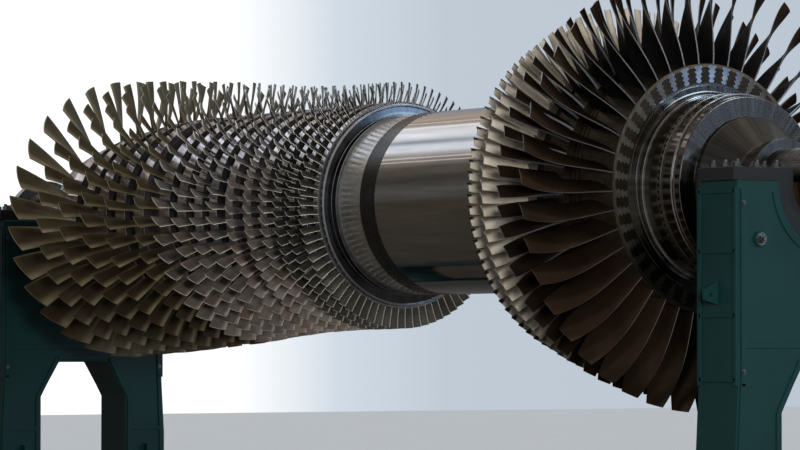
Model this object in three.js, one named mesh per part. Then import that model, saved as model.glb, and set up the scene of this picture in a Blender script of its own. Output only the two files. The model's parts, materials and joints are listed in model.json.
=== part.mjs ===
// Gas turbine rotor lying in its two half-round saddles on a low steel stand.
// Millimetres, +Z up, the rotor's axis along X with the turbine end at +X.
// The stand's feet are on z = 0 and the rotor's length is centred on x = 0.
import * as THREE from 'three';
import { mergeVertices } from 'three/addons/utils/BufferGeometryUtils.js';

// ---------------------------------------------------------------- driving dimensions
const RD = 740;               // radius of the centre drum, the unit of the stations below
const AXIS_Z = 2860;          // height of the rotor's axis
const X0 = 146;               // x of station 0, which is the last compressor row
const GAP = 0.3;              // gap between two pieces that touch
const X = (t) => X0 - t * RD; // stations run from the turbine end (-) to the inlet (+)

// compressor rows: station of the tip's leading and trailing edge, the tip's turn in
// degrees between them, and the number of blades
const ROWS = [
  [5.809, 5.558, 10.1, 28], [5.171, 5.056, 6.25, 32], [4.702, 4.555, 6.65, 36], [4.244, 4.082, 6.2, 40],
  [3.745, 3.630, 4.8, 43], [3.163, 3.025, 5.0, 44], [2.804, 2.648, 4.9, 43], [2.444, 2.311, 4.35, 52],
  [2.094, 1.971, 3.9, 54], [1.789, 1.652, 3.85, 52], [1.410, 1.320, 3.9, 58], [1.070, 0.978, 3.8, 64],
  [0.774, 0.660, 3.75, 66], [0.491, 0.405, 3.0, 80], [0.251, 0.180, 2.7, 80], [-0.004, -0.064, 3.0, 80],
];
// angle of one leading tip edge in each row, from the top towards +Y
const ROW_PHASE = [-4.04, 10.05, 5.17, 9.21, 7.70, 5.77, -92.75, -93.8, -94.3, -94.2, -96.0, -95.6, -95.8, -93.2, -93.55, -93.0];
// rims the blades stand on, front and rear station of each
const RIMS = [
  [5.76, 5.38], [5.15, 4.90], [4.73, 4.47], [4.240, 4.014], [3.795, 3.582], [3.226, 3.011], [2.832, 2.647], [2.464, 2.304],
  [2.144, 1.986], [1.807, 1.661], [1.44, 1.285], [1.095, 0.963], [0.79, 0.66], [0.50, 0.40], [0.26, 0.17], [0.02, -0.07],
];
const TIP_R = [[-0.10, 1.366], [0.23, 1.375], [0.74, 1.380], [1.16, 1.394], [1.70, 1.416], [2.11, 1.451], [2.36, 1.468],
  [2.52, 1.487], [2.87, 1.521], [3.02, 1.535], [3.63, 1.576], [4.09, 1.606], [4.55, 1.638], [5.06, 1.656], [5.18, 1.664],
  [5.55, 1.685], [5.81, 1.693], [6.2, 1.694]];
const HUB_R = [[6.27, 0.80], [5.91, 0.90], [5.29, 1.02], [4.77, 1.08], [4.30, 1.13], [3.85, 1.147], [-0.2, 1.147]];
const NECK_DEPTH = 0.10;      // depth of the grooves between the compressor rims
// angle of a blade's chord to the axis and length of the chord at the root, as shares of
// those at the tip; the blades are twisted most in the first rows
const rootAngle = (i) => 0.44 + 0.31 * i / 15;
const rootChord = (i) => 0.83 + 0.07 * Math.min(1, i / 5);

// turbine rows: rim from/to, rim radius from/to, tip leading edge station and radius,
// tip trailing edge station and radius, turn of the tip and of the root in degrees, blades, phase
const TURBINE = [
  { rim: [-3.530, -3.800], hub: [1.450, 1.440], le: [-3.620, 1.730], te: [-3.672, 1.738], tip: 3.0, root: 2.0, n: 93, phase: -98.84, thick: 0.034, neck: 1.26 },
  { rim: [-3.960, -4.260], hub: [1.430, 1.410], le: [-4.049, 1.880], te: [-4.101, 1.890], tip: 3.4, root: 2.2, n: 90, phase: -98.98, thick: 0.036, neck: 1.24 },
  { rim: [-4.420, -4.720], hub: [1.370, 1.345], le: [-4.566, 2.058], te: [-4.628, 2.068], tip: 3.3, root: 3.2, n: 64, phase: -72.80, thick: 0.050, neck: 1.18 },
  { rim: [-4.930, -5.380], hub: [1.300, 1.250], le: [-5.147, 2.222], te: [-5.215, 2.232], tip: 4.2, root: 4.6, n: 42, phase: -94.55, thick: 0.075, neck: 1.01 },
];

const JOURNAL_R = 260;        // radius of both journals
const SHELL_IN = 262;         // inside radius of the bearing shells
const SHELL_OUT = 320;
const SADDLE_OUT = 470;       // outside radius of the saddles
const SEAT_X = [X(7.18), X(-6.86)]; // middle of the two journals
const SEAT_LEN = 440;         // length of a pedestal along the axis

const RAIL_H = 560;           // stand: two long rails, cross beams and two pedestals
const RAIL_W = 300;
const RAIL_Y = 700;
const RAIL_X = 5560;

// ---------------------------------------------------------------- materials
const mat = (color, roughness, metalness) => new THREE.MeshStandardMaterial({ color, roughness, metalness, flatShading: true });
const bronzeBlade = mat(0x6f6650, 0.38, 0.9);
const steelBlade = mat(0x5d5753, 0.34, 0.95);
const coatedBlade = mat(0xb3a68c, 0.6, 0.3);
const darkBlade = mat(0x2a2320, 0.42, 0.8);
const polished = mat(0xb6b4b2, 0.22, 1.0);
const band = mat(0x2b2724, 0.65, 0.5);
const brushed = mat(0x6c6763, 0.32, 1.0);
const teal = mat(0x0c3a3e, 0.45, 0.1);
const dark = mat(0x1f2123, 0.5, 0.6);
const bronze = mat(0x8c6a3c, 0.4, 0.9);

// ---------------------------------------------------------------- helpers
const lerp = (table, t) => {
  const rows = [...table].sort((a, b) => a[0] - b[0]);
  if (t <= rows[0][0]) return rows[0][1];
  for (let i = 1; i < rows.length; i++) {
    if (t <= rows[i][0]) {
      const k = (t - rows[i - 1][0]) / (rows[i][0] - rows[i - 1][0]);
      return rows[i - 1][1] + k * (rows[i][1] - rows[i - 1][1]);
    }
  }
  return rows[rows.length - 1][1];
};
const rad = (d) => d * Math.PI / 180;

// a closed triangle mesh built vertex by vertex; all faces are turned outwards at the end
class Solid {
  constructor() { this.v = []; this.f = []; }
  p(x, r, a) { this.v.push(x, r * Math.sin(a), r * Math.cos(a)); return this.v.length / 3 - 1; }
  tri(a, b, c) { this.f.push([a, b, c]); }
  ring(x, r, angles) { return angles.map((a) => this.p(x, r, a)); }
  fan(ring, x) {
    const c = this.p(x, 0, 0);
    for (let i = 0; i < ring.length; i++) this.tri(c, ring[i], ring[(i + 1) % ring.length]);
  }
  band(a, b) {
    const n = a.length;
    for (let i = 0; i < n; i++) {
      const j = (i + 1) % n;
      this.tri(a[i], a[j], b[j]);
      this.tri(a[i], b[j], b[i]);
    }
  }
  // joins two rings with different numbers of points; their angles are given
  zip(a, aa, b, ba) {
    const full = Math.PI * 2, n = a.length, m = b.length;
    const norm = (q) => ((q % full) + full) % full;
    const ia = aa.map((q, i) => [norm(q), a[i]]).sort((p, q) => p[0] - q[0]);
    const ib = ba.map((q, i) => [norm(q), b[i]]).sort((p, q) => p[0] - q[0]);
    let i = 0, j = 0;
    while (i < n || j < m) {
      const na = i < n ? ia[(i + 1) % n][0] + (i + 1 >= n ? full : 0) : Infinity;
      const nb = j < m ? ib[(j + 1) % m][0] + (j + 1 >= m ? full : 0) : Infinity;
      if (na <= nb) { this.tri(ia[i % n][1], ia[(i + 1) % n][1], ib[j % m][1]); i++; }
      else { this.tri(ib[j % m][1], ib[(j + 1) % m][1], ia[i % n][1]); j++; }
    }
  }
  geometry() {
    const edges = new Map();
    this.f.forEach((t, k) => {
      for (let e = 0; e < 3; e++) {
        const a = t[e], b = t[(e + 1) % 3], key = a < b ? a + '_' + b : b + '_' + a;
        if (!edges.has(key)) edges.set(key, []);
        edges.get(key).push([k, a < b]);
      }
    });
    const done = new Array(this.f.length).fill(false), flip = new Array(this.f.length).fill(false);
    const queue = [0]; done[0] = true;
    while (queue.length) {
      const k = queue.pop(), t = this.f[k];
      for (let e = 0; e < 3; e++) {
        const a = t[e], b = t[(e + 1) % 3], key = a < b ? a + '_' + b : b + '_' + a;
        const pair = edges.get(key);
        const me = pair.find((q) => q[0] === k);
        for (const q of pair) {
          if (q[0] === k || done[q[0]]) continue;
          const same = (me[1] !== flip[k]) === q[1];
          flip[q[0]] = same;
          done[q[0]] = true;
          queue.push(q[0]);
        }
      }
    }
    let vol = 0;
    const tris = this.f.map((t, k) => (flip[k] ? [t[0], t[2], t[1]] : t));
    const q = (i) => [this.v[3 * i], this.v[3 * i + 1], this.v[3 * i + 2]];
    for (const [a, b, c] of tris) {
      const A = q(a), B = q(b), C = q(c);
      vol += A[0] * (B[1] * C[2] - B[2] * C[1]) - A[1] * (B[0] * C[2] - B[2] * C[0]) + A[2] * (B[0] * C[1] - B[1] * C[0]);
    }
    const index = vol < 0 ? tris.map((t) => [t[0], t[2], t[1]]).flat() : tris.flat();
    const g = new THREE.BufferGeometry();
    g.setAttribute('position', new THREE.Float32BufferAttribute(this.v, 3));
    g.setIndex(index);
    return g;
  }
}

// a wheel with its blades: rim cone between two stations, a neck behind it, and one
// blade for each pitch whose root runs from the rim's front edge to its rear edge
function bladedDisc(s) {
  const S = new Solid();
  const n = s.n, pitch = 360 / n, K = 20;
  const xF = s.xF, xB = s.xB, xN = s.xN;
  const sign = s.suction; // side of the chord, as an angle, that the convex face is on
  const F = [], B = [], M = [], LT = [], TT = [], MT = [], LM = [], TM = [], MM = [], aF = [], aB = [];
  for (let j = 0; j < n; j++) {
    const lead = s.phase + j * pitch, mid = lead - s.tipTurn / 2;
    const foot = mid + (s.lean || 0), waist = mid + (s.midLean || 0); // the blade leans between its foot and its tip
    const f = rad(foot + s.rootTurn / 2), b = rad(foot - s.rootTurn / 2);
    aF.push(f); aB.push(b);
    F.push(S.p(xF, s.rF, f));
    B.push(S.p(xB, s.rB, b));
    const bulge = Math.atan(s.thick / ((s.rF + s.rB) / 2));
    M.push(S.p((xF * 0.55 + xB * 0.45), (s.rF * 0.55 + s.rB * 0.45), rad(foot) + sign * bulge));
    LT.push(S.p(s.xLT, s.rLT, rad(lead)));
    TT.push(S.p(s.xTT, s.rTT, rad(lead - s.tipTurn)));
    if (s.sections === 3) {
      const k = 0.5, mix = (a, b2) => a * (1 - k) + b2 * k;
      const cx = s.midAxial; // half the axial chord at mid height
      const xc = mix((xF + xB) / 2, (s.xLT + s.xTT) / 2), rc = mix((s.rF + s.rB) / 2, (s.rLT + s.rTT) / 2);
      LM.push(S.p(xc - cx, rc, rad(waist + s.midTurn / 2)));
      TM.push(S.p(xc + cx, rc, rad(waist - s.midTurn / 2)));
      MM.push(S.p(xc - cx * 0.1, rc, rad(waist) + sign * Math.atan(s.thick * 0.65 / rc)));
      MT.push(S.p((s.xLT + s.xTT) / 2, (s.rLT + s.rTT) / 2, rad(mid) + sign * Math.atan(s.thick * 0.22 / s.rTT)));
    }
  }
  for (let j = 0; j < n; j++) {
    const k = (j + 1) % n;
    // rim between this blade and the next
    if (sign < 0) { S.tri(M[k], B[k], B[j]); S.tri(M[k], B[j], F[j]); S.tri(M[k], F[j], F[k]); }
    else { S.tri(M[j], F[j], F[k]); S.tri(M[j], F[k], B[k]); S.tri(M[j], B[k], B[j]); }
    // blade
    const skin = (l0, t0, m0, l1, t1, m1) => {
      if (s.diag) { S.tri(l0, t0, t1); S.tri(l0, t1, l1); } else { S.tri(l0, t0, l1); S.tri(t0, t1, l1); }
      if (m1 === null) { S.tri(l0, m0, l1); S.tri(m0, t0, t1); S.tri(m0, t1, l1); }
      else { S.tri(l0, m0, m1); S.tri(l0, m1, l1); S.tri(m0, t0, t1); S.tri(m0, t1, m1); }
    };
    if (s.sections === 3) {
      skin(F[j], B[j], M[j], LM[j], TM[j], MM[j]);
      skin(LM[j], TM[j], MM[j], LT[j], TT[j], MT[j]);
      S.tri(LT[j], TT[j], MT[j]);
    } else skin(F[j], B[j], M[j], LT[j], TT[j], null);
  }
  S.fan(F, xF);
  if (xN > xB + 1) {
    const ag = Array.from({ length: K }, (_, i) => (i + 0.5) * Math.PI * 2 / K);
    const G = S.ring(xB, s.rNeck, ag), G2 = S.ring(xN, s.rNeck, ag);
    S.zip(B, aB, G, ag);
    S.band(G, G2);
    S.fan(G2, xN);
  } else S.fan(B, xB);
  return S.geometry();
}

const group = new THREE.Group();
const rotor = new THREE.Group();
rotor.position.set(0, 0, AXIS_Z);
group.add(rotor);
const add = (parent, name, geometry, material) => {
  const mesh = new THREE.Mesh(geometry, material);
  mesh.name = name;
  parent.add(mesh);
  return mesh;
};

// a solid of revolution about X from stations (x, radius); it starts and ends on the axis
function turned(points, segments) {
  const pts = points.map(([x, r]) => new THREE.Vector2(r, x));
  let g = new THREE.LatheGeometry(pts, segments);
  g.deleteAttribute('normal');
  g.deleteAttribute('uv');
  g.rotateZ(-Math.PI / 2); // the lathe's Y axis becomes +X
  return mergeVertices(g, 1e-3);
}

// ---------------------------------------------------------------- compressor
ROWS.forEach((r, i) => {
  const [tF, tB] = RIMS[i];
  const next = i < ROWS.length - 1 ? RIMS[i + 1][0] : tB;
  const tipTan = rad(r[2]) * lerp(TIP_R, (r[0] + r[1]) / 2);
  const chordTip = Math.hypot(r[0] - r[1], tipTan);
  const rootTan = chordTip * rootChord(i) * Math.sin(Math.atan2(tipTan, r[0] - r[1]) * rootAngle(i));
  const rm = lerp(HUB_R, (tF + tB) / 2);
  add(rotor, 'compressor_stage_' + String(i + 1).padStart(2, '0'), bladedDisc({
    n: r[3], phase: ROW_PHASE[i], tipTurn: r[2], rootTurn: rootTan / rm * 180 / Math.PI, suction: -1,
    xF: X(tF) + GAP / 2, xB: X(tB), xN: i < ROWS.length - 1 ? X(next) - GAP / 2 : X(tB),
    rF: lerp(HUB_R, tF) * RD, rB: lerp(HUB_R, tB) * RD,
    rNeck: (Math.min(lerp(HUB_R, tB), lerp(HUB_R, next)) - NECK_DEPTH) * RD,
    thick: chordTip * 0.13 * RD, sections: 2, diag: false,
    xLT: X(r[0]), rLT: lerp(TIP_R, r[0]) * RD, xTT: X(r[1]), rTT: lerp(TIP_R, r[1]) * RD,
  }), i < 6 ? bronzeBlade : steelBlade);
});

// inlet cone in front of the first row, then the stub shaft with its journal
const tFront = RIMS[0][0];
add(rotor, 'inlet_cone', turned([
  [X(6.27), 0], [X(6.27), 0.80 * RD], [X(tFront) - GAP / 2, lerp(HUB_R, tFront) * RD - 2], [X(tFront) - GAP / 2, 0],
], 40), brushed);
add(rotor, 'front_shaft', turned([
  [X(7.72), 0], [X(7.72), 225], [SEAT_X[0] - 250, 225], [SEAT_X[0] - 250, JOURNAL_R], [SEAT_X[0] + 250, JOURNAL_R],
  [SEAT_X[0] + 250, 335], [SEAT_X[0] + 320, 335], [SEAT_X[0] + 320, 280], [X(6.45), 300],
  [X(6.27) - GAP, 430], [X(6.27) - GAP, 0],
], 32), brushed);
add(rotor, 'front_coupling', turned([
  [-5700, 0], [-5700, 150], [-5694, 150], [-5694, 400], [-5610, 400], [-5610, 300], [X(7.72) - GAP, 260], [X(7.72) - GAP, 0],
], 32), brushed);

// ---------------------------------------------------------------- centre
const tExit = RIMS[15][1];
add(rotor, 'exit_ring', turned([
  [X(tExit) + GAP, 0], [X(tExit) + GAP, 1.100 * RD], [X(-0.125), 1.100 * RD], [X(-0.135), 1.035 * RD], [X(-0.185), 1.035 * RD],
  [X(-0.190), 1.055 * RD], [X(-0.235), 1.055 * RD], [X(-0.240), 1.020 * RD], [X(-0.300), 1.020 * RD], [X(-0.300), 0],
], 48), polished);
add(rotor, 'drum_front', turned([
  [X(-0.300) + GAP, 0], [X(-0.300) + GAP, RD], [X(-0.645), RD], [X(-0.645), 0],
], 64), polished);
add(rotor, 'drum_band', turned([
  [X(-0.645) + GAP, 0], [X(-0.645) + GAP, RD], [X(-0.937), RD], [X(-0.937), 0],
], 64), band);
add(rotor, 'drum_main', turned([
  [X(-0.937) + GAP, 0], [X(-0.937) + GAP, RD], [X(-3.440), RD], [X(-3.440), 1.22 * RD], [X(-3.530) - GAP / 2, 1.22 * RD], [X(-3.530) - GAP / 2, 0],
], 64), polished);

// ---------------------------------------------------------------- turbine
TURBINE.forEach((s, i) => {
  const next = i < 3 ? TURBINE[i + 1].rim[0] : s.rim[1] - 0.047;
  add(rotor, 'turbine_stage_' + (i + 1), bladedDisc({
    n: s.n, phase: s.phase, tipTurn: s.tip, rootTurn: s.root, suction: 1,
    xF: X(s.rim[0]) + GAP / 2, xB: X(s.rim[1]), xN: X(next) - GAP / 2,
    rF: s.hub[0] * RD, rB: s.hub[1] * RD, rNeck: s.neck * RD,
    thick: s.thick * RD, sections: i < 2 ? 2 : 3, diag: true,
    midAxial: i === 3 ? 0.145 * RD : 0.095 * RD, midTurn: i === 3 ? 4.2 : 3.2,
    lean: i === 3 ? -2.3 : i === 2 ? 0.4 : 0, midLean: i === 3 ? -2.2 : i === 2 ? 0.2 : 0,
    xLT: X(s.le[0]), rLT: s.le[1] * RD, xTT: X(s.te[0]), rTT: s.te[1] * RD,
  }), i < 2 ? coatedBlade : darkBlade);
});

// rear drum behind the last wheel, its cone and the rear shaft with the second journal
const tRear = -5.427;
add(rotor, 'rear_drum', turned([
  [X(tRear) + GAP / 2, 0], [X(tRear) + GAP / 2, 0.931 * RD], [X(-5.60), 0.935 * RD], [X(-5.88), 0.935 * RD],
  [X(-5.88), 0.900 * RD], [X(-5.98), 0.900 * RD], [X(-5.98), 0],
], 48), brushed);
add(rotor, 'rear_shaft', turned([
  [X(-5.98) + GAP, 0], [X(-5.98) + GAP, 0.70 * RD], [X(-6.25), 300], [SEAT_X[1] - 320, 280], [SEAT_X[1] - 320, 335],
  [SEAT_X[1] - 250, 335], [SEAT_X[1] - 250, JOURNAL_R], [SEAT_X[1] + 250, JOURNAL_R], [SEAT_X[1] + 250, 225],
  [5600, 225], [5600, 0],
], 32), brushed);
add(rotor, 'tie_rod_nut', turned([[5600 + GAP, 0], [5600 + GAP, 140], [5700, 140], [5700, 0]], 6), dark);

// ---------------------------------------------------------------- stand
const stand = new THREE.Group();
group.add(stand);
// outline in (Y, Z), drawn out along X between two stations
function drawn(outline, x0, x1, curveSegments = 12) {
  const shape = outline instanceof THREE.Shape ? outline : new THREE.Shape(outline.map(([y, z]) => new THREE.Vector2(y, z)));
  let g = new THREE.ExtrudeGeometry(shape, { depth: x1 - x0, bevelEnabled: false, curveSegments });
  g.deleteAttribute('normal');
  g.deleteAttribute('uv');
  // shape x -> Y, shape y -> Z, depth -> X
  g.applyMatrix4(new THREE.Matrix4().set(0, 0, 1, x0, 1, 0, 0, 0, 0, 1, 0, 0, 0, 0, 0, 1));
  return mergeVertices(g, 1e-3);
}
const box = (x0, x1, y0, y1, z0, z1) => drawn([[y0, z0], [y1, z0], [y1, z1], [y0, z1]], x0, x1);

for (const [side, s] of [['near', -1], ['far', 1]]) {
  const y = s * RAIL_Y, w = RAIL_W / 2, f = 36, web = 14;
  add(stand, 'stand_rail_' + side, drawn([
    [y - w, 0], [y + w, 0], [y + w, f], [y + web, f], [y + web, RAIL_H - f], [y + w, RAIL_H - f], [y + w, RAIL_H],
    [y - w, RAIL_H], [y - w, RAIL_H - f], [y - web, RAIL_H - f], [y - web, f], [y - w, f],
  ], -RAIL_X, RAIL_X), teal);
}
const inner = RAIL_Y - RAIL_W / 2 - GAP;
[['front', SEAT_X[0]], ['mid_front', -1850], ['mid_rear', 1650], ['rear', SEAT_X[1]]].forEach(([name, x]) => {
  add(stand, 'stand_cross_' + name, box(x - 130, x + 130, -inner, inner, 120, 460), teal);
});

const arc = (r, from, to, n, cz = AXIS_Z) => Array.from({ length: n + 1 }, (_, i) => {
  const a = rad(from + (to - from) * i / n);
  return [r * Math.cos(a), cz + r * Math.sin(a)];
});
[['front', SEAT_X[0]], ['rear', SEAT_X[1]]].forEach(([name, x]) => {
  const h = SEAT_LEN / 2;
  // pedestal: two legs on the rails joined under the saddle, with a half-round seat
  add(stand, name + '_pedestal', drawn([
    [-880, RAIL_H + GAP], [-450, RAIL_H + GAP], [-450, 1250], [-260, 1560], [260, 1560], [450, 1250], [450, RAIL_H + GAP],
    [880, RAIL_H + GAP], [880, 900], [850, 1400], [850, AXIS_Z - GAP],
    ...arc(SADDLE_OUT + GAP + 0.6, 0, -180, 14).map(([y, z]) => [y, Math.min(z, AXIS_Z - GAP)]),
    [-850, AXIS_Z - GAP], [-850, 1400], [-880, 900],
  ], x - h, x + h), teal);
  // saddle: half-round housing with two keeper wings that lie on the pedestal
  add(stand, name + '_saddle', drawn([
    ...arc(SADDLE_OUT, 0, -180, 14),
    [-870, AXIS_Z], [-870, AXIS_Z + 95], [-(SHELL_OUT + GAP + 0.6), AXIS_Z + 95],
    ...arc(SHELL_OUT + GAP + 0.6, -180, 0, 14),
    [SHELL_OUT + GAP + 0.6, AXIS_Z + 95], [870, AXIS_Z + 95], [870, AXIS_Z],
  ], x - h + 20, x + h - 20), dark);
  // lower half of the bearing shell
  add(stand, name + '_bearing_shell', drawn([
    ...arc(SHELL_OUT, 0, -180, 14), ...arc(SHELL_IN, -180, 0, 24),
  ], x - h + 40, x + h - 40), bronze);
});

export default group;
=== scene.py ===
import bmesh
import bpy
import json
import math
import numpy as np
from mathutils import Matrix, Vector

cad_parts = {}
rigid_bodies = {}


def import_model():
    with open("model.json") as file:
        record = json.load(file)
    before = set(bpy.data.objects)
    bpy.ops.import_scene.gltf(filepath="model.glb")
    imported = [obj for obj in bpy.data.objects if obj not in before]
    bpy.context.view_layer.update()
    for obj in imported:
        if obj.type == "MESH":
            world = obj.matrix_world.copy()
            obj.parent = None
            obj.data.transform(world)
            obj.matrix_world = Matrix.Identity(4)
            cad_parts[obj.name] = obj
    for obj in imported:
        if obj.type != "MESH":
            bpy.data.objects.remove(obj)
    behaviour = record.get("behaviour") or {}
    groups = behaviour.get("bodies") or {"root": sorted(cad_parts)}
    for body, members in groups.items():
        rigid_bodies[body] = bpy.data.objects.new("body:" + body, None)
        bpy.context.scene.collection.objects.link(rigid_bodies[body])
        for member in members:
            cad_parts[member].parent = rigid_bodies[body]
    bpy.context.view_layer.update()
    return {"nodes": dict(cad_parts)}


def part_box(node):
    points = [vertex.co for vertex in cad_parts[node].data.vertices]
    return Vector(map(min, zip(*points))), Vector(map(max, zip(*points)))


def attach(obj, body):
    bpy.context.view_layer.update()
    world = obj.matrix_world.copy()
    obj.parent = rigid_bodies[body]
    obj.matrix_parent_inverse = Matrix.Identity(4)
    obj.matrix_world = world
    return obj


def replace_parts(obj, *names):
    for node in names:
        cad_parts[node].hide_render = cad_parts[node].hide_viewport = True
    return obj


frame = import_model()
nodes = frame["nodes"]
scene = bpy.context.scene

# ------------------------------------------------------------------ dimensions (metres)
RD = 0.740
AZ = 2.860
X0 = 0.146


def X(t):
    return X0 - t * RD


# compressor rows: tip leading station, tip trailing station, tip turn in degrees, blades, phase
ROWS = [
    (5.809, 5.558, 10.1, 28, -4.04), (5.171, 5.056, 6.25, 32, 10.05), (4.702, 4.555, 6.65, 36, 5.17), (4.244, 4.082, 6.2, 40, 9.21),
    (3.745, 3.630, 4.8, 43, 7.70), (3.163, 3.025, 5.0, 44, 5.77), (2.804, 2.648, 4.9, 43, -92.75), (2.444, 2.311, 4.35, 52, -93.8),
    (2.094, 1.971, 3.9, 54, -94.3), (1.789, 1.652, 3.85, 52, -94.2), (1.410, 1.320, 3.9, 58, -96.0), (1.070, 0.978, 3.8, 64, -95.6),
    (0.774, 0.660, 3.75, 66, -95.8), (0.491, 0.405, 3.0, 80, -93.2), (0.251, 0.180, 2.7, 80, -93.55), (-0.004, -0.064, 3.0, 80, -93.0),
]
# platforms the blades stand on, front and rear station of each row
RIMS = [
    (5.76, 5.38), (5.15, 4.90), (4.73, 4.47), (4.240, 4.014), (3.795, 3.582), (3.226, 3.011), (2.832, 2.647), (2.464, 2.304),
    (2.144, 1.986), (1.807, 1.661), (1.44, 1.285), (1.095, 0.963), (0.79, 0.66), (0.50, 0.40), (0.26, 0.17), (0.02, -0.07),
]
TIP_R = np.array([[-0.10, 1.366], [0.23, 1.375], [0.74, 1.380], [1.16, 1.394], [1.70, 1.416], [2.11, 1.451], [2.36, 1.468],
                  [2.52, 1.487], [2.87, 1.521], [3.02, 1.535], [3.63, 1.576], [4.09, 1.606], [4.55, 1.638], [5.06, 1.656],
                  [5.18, 1.664], [5.55, 1.685], [5.81, 1.693], [6.2, 1.694]])
HUB_R = np.array([[-0.2, 1.147], [3.85, 1.147], [4.30, 1.13], [4.77, 1.08], [5.29, 1.02], [5.91, 0.90], [6.27, 0.80]])


def tip_r(x):
    return np.interp((X0 - x) / RD, TIP_R[:, 0], TIP_R[:, 1]) * RD


def hub_r(x):
    return np.interp((X0 - x) / RD, HUB_R[:, 0], HUB_R[:, 1]) * RD


def rad(d):
    return d * math.pi / 180.0


# ------------------------------------------------------------------ mesh helpers
def cyl(x, r, th):
    """Points from station, radius and angle from the top towards +Y."""
    x, r, th = np.broadcast_arrays(np.asarray(x, float), np.asarray(r, float), np.asarray(th, float))
    return np.stack([x, r * np.sin(th), AZ + r * np.cos(th)], -1)


def make(name, verts, faces, mat, body="rotor", smooth=None, slot=None, second=None, third=None, index=None, marks=None, chamfer=None):
    me = bpy.data.meshes.new(name)
    me.from_pydata(np.asarray(verts, float).reshape(-1, 3).tolist(), [], [tuple(int(i) for i in f) for f in faces])
    if index is not None:
        me.polygons.foreach_set("material_index", index)
    me.update()
    ob = bpy.data.objects.new(name, me)
    scene.collection.objects.link(ob)
    for m_ in (mat, second, third):
        if m_ is not None:
            me.materials.append(m_)
    if marks is not None:
        for key, col in (("chord", 0), ("span", 1)):
            me.attributes.new(key, "FLOAT", "POINT").data.foreach_set("value", marks[:, col].astype(np.float32))
    fix_normals(ob, chamfer)
    if smooth is not None:
        me.polygons.foreach_set("use_smooth", [True] * len(me.polygons))
        me.set_sharp_from_angle(angle=rad(smooth))
    if body:
        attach(ob, body)
    return ob


def fix_normals(ob, chamfer=None):
    bm = bmesh.new()
    bm.from_mesh(ob.data)
    bmesh.ops.recalc_face_normals(bm, faces=bm.faces)
    if chamfer:
        bmesh.ops.bevel(bm, geom=[e for e in bm.edges if len(e.link_faces) == 2 and e.calc_face_angle(0.0) > rad(28)],
                        offset=chamfer, offset_type="OFFSET", segments=1, profile=0.5, affect="EDGES", clamp_overlap=True)
    bm.to_mesh(ob.data)
    bm.free()


class Bag:
    """Collects many closed shells into one mesh; marks carry the share along the chord and along the span."""

    def __init__(self):
        self.v, self.f, self.n, self.m, self.k = [], [], 0, [], []

    def add(self, verts, faces, index=None, marks=None):
        verts = np.asarray(verts, float).reshape(-1, 3)
        self.v.append(verts)
        self.f.extend([tuple(i + self.n for i in f) for f in faces])
        self.m.extend(index if index is not None else [0] * len(faces))
        self.k.append(marks if marks is not None else np.zeros((len(verts), 2)))
        self.n += len(verts)

    def make(self, name, mat, **kw):
        return make(name, np.concatenate(self.v), self.f, mat, index=self.m, marks=np.concatenate(self.k), **kw)


def lathe(name, profile, mat, seg=192, smooth=28, body="rotor", slot=None, cz=AZ):
    """Solid of revolution about the rotor's axis from (x, r) points; the ends close on the axis or on each other."""
    prof = [tuple(p) for p in profile]
    on_axis = prof[0][1] < 1e-6 and prof[-1][1] < 1e-6
    th = np.arange(seg) * 2 * math.pi / seg
    verts, faces = [], []
    inner = prof[1:-1] if on_axis else prof
    for x, r in inner:
        verts.append(cyl(x, r, th))
    verts = np.concatenate(verts)
    m = len(inner)
    rows = range(m - 1) if on_axis else range(m)
    for k in rows:
        a, b = k * seg, ((k + 1) % m) * seg
        for i in range(seg):
            j = (i + 1) % seg
            faces.append((a + i, a + j, b + j, b + i))
    if on_axis:
        faces.append(tuple(range(seg)))
        faces.append(tuple((m - 1) * seg + i for i in range(seg)))
    return make(name, verts, faces, mat, body=body, smooth=smooth, slot=slot)


def bevel_profile(points, r=0.003, n=2, hold=0.0006):
    """Rounds the corners of an open (x, r) profile and keeps the flats beside them flat; the end points stay."""
    out = [points[0]]
    for i in range(1, len(points) - 1):
        p, a, b = np.array(points[i]), np.array(points[i - 1]), np.array(points[i + 1])
        da, db = np.linalg.norm(a - p), np.linalg.norm(b - p)
        if min(da, db) < 1e-6 or min(p[1], 1) < 1e-6:
            out.append(tuple(p))
            continue
        k = min(r, da * 0.40, db * 0.40)
        h = min(hold, da * 0.05, db * 0.05)
        s, e = p + (a - p) / da * k, p + (b - p) / db * k
        out.append(tuple(s + (a - p) / da * h))
        for j in range(n + 1):
            u = j / n
            out.append(tuple((1 - u) ** 2 * s + 2 * u * (1 - u) * p + u * u * e))
        out.append(tuple(e + (b - p) / db * h))
    out.append(points[-1])
    return out


# ------------------------------------------------------------------ materials
def new_mat(name):
    m = bpy.data.materials.new(name)
    m.use_nodes = True
    nt = m.node_tree
    bsdf = nt.nodes.get("Principled BSDF")
    return m, nt, bsdf


def node(nt, kind, **props):
    n = nt.nodes.new(kind)
    for k, v in props.items():
        setattr(n, k, v)
    return n


def noise_at(nt, scale, detail=4.0, rough=0.55, coords=None, distortion=0.0, vec_scale=None):
    tc = node(nt, "ShaderNodeTexCoord")
    src = tc.outputs["Object"]
    if vec_scale:
        mp = node(nt, "ShaderNodeMapping")
        mp.inputs["Scale"].default_value = vec_scale
        nt.links.new(src, mp.inputs["Vector"])
        src = mp.outputs["Vector"]
    nz = node(nt, "ShaderNodeTexNoise")
    nz.inputs["Scale"].default_value = scale
    nz.inputs["Detail"].default_value = detail
    nz.inputs["Roughness"].default_value = rough
    nz.inputs["Distortion"].default_value = distortion
    nt.links.new(src, nz.inputs["Vector"])
    return nz.outputs["Fac"]


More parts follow.
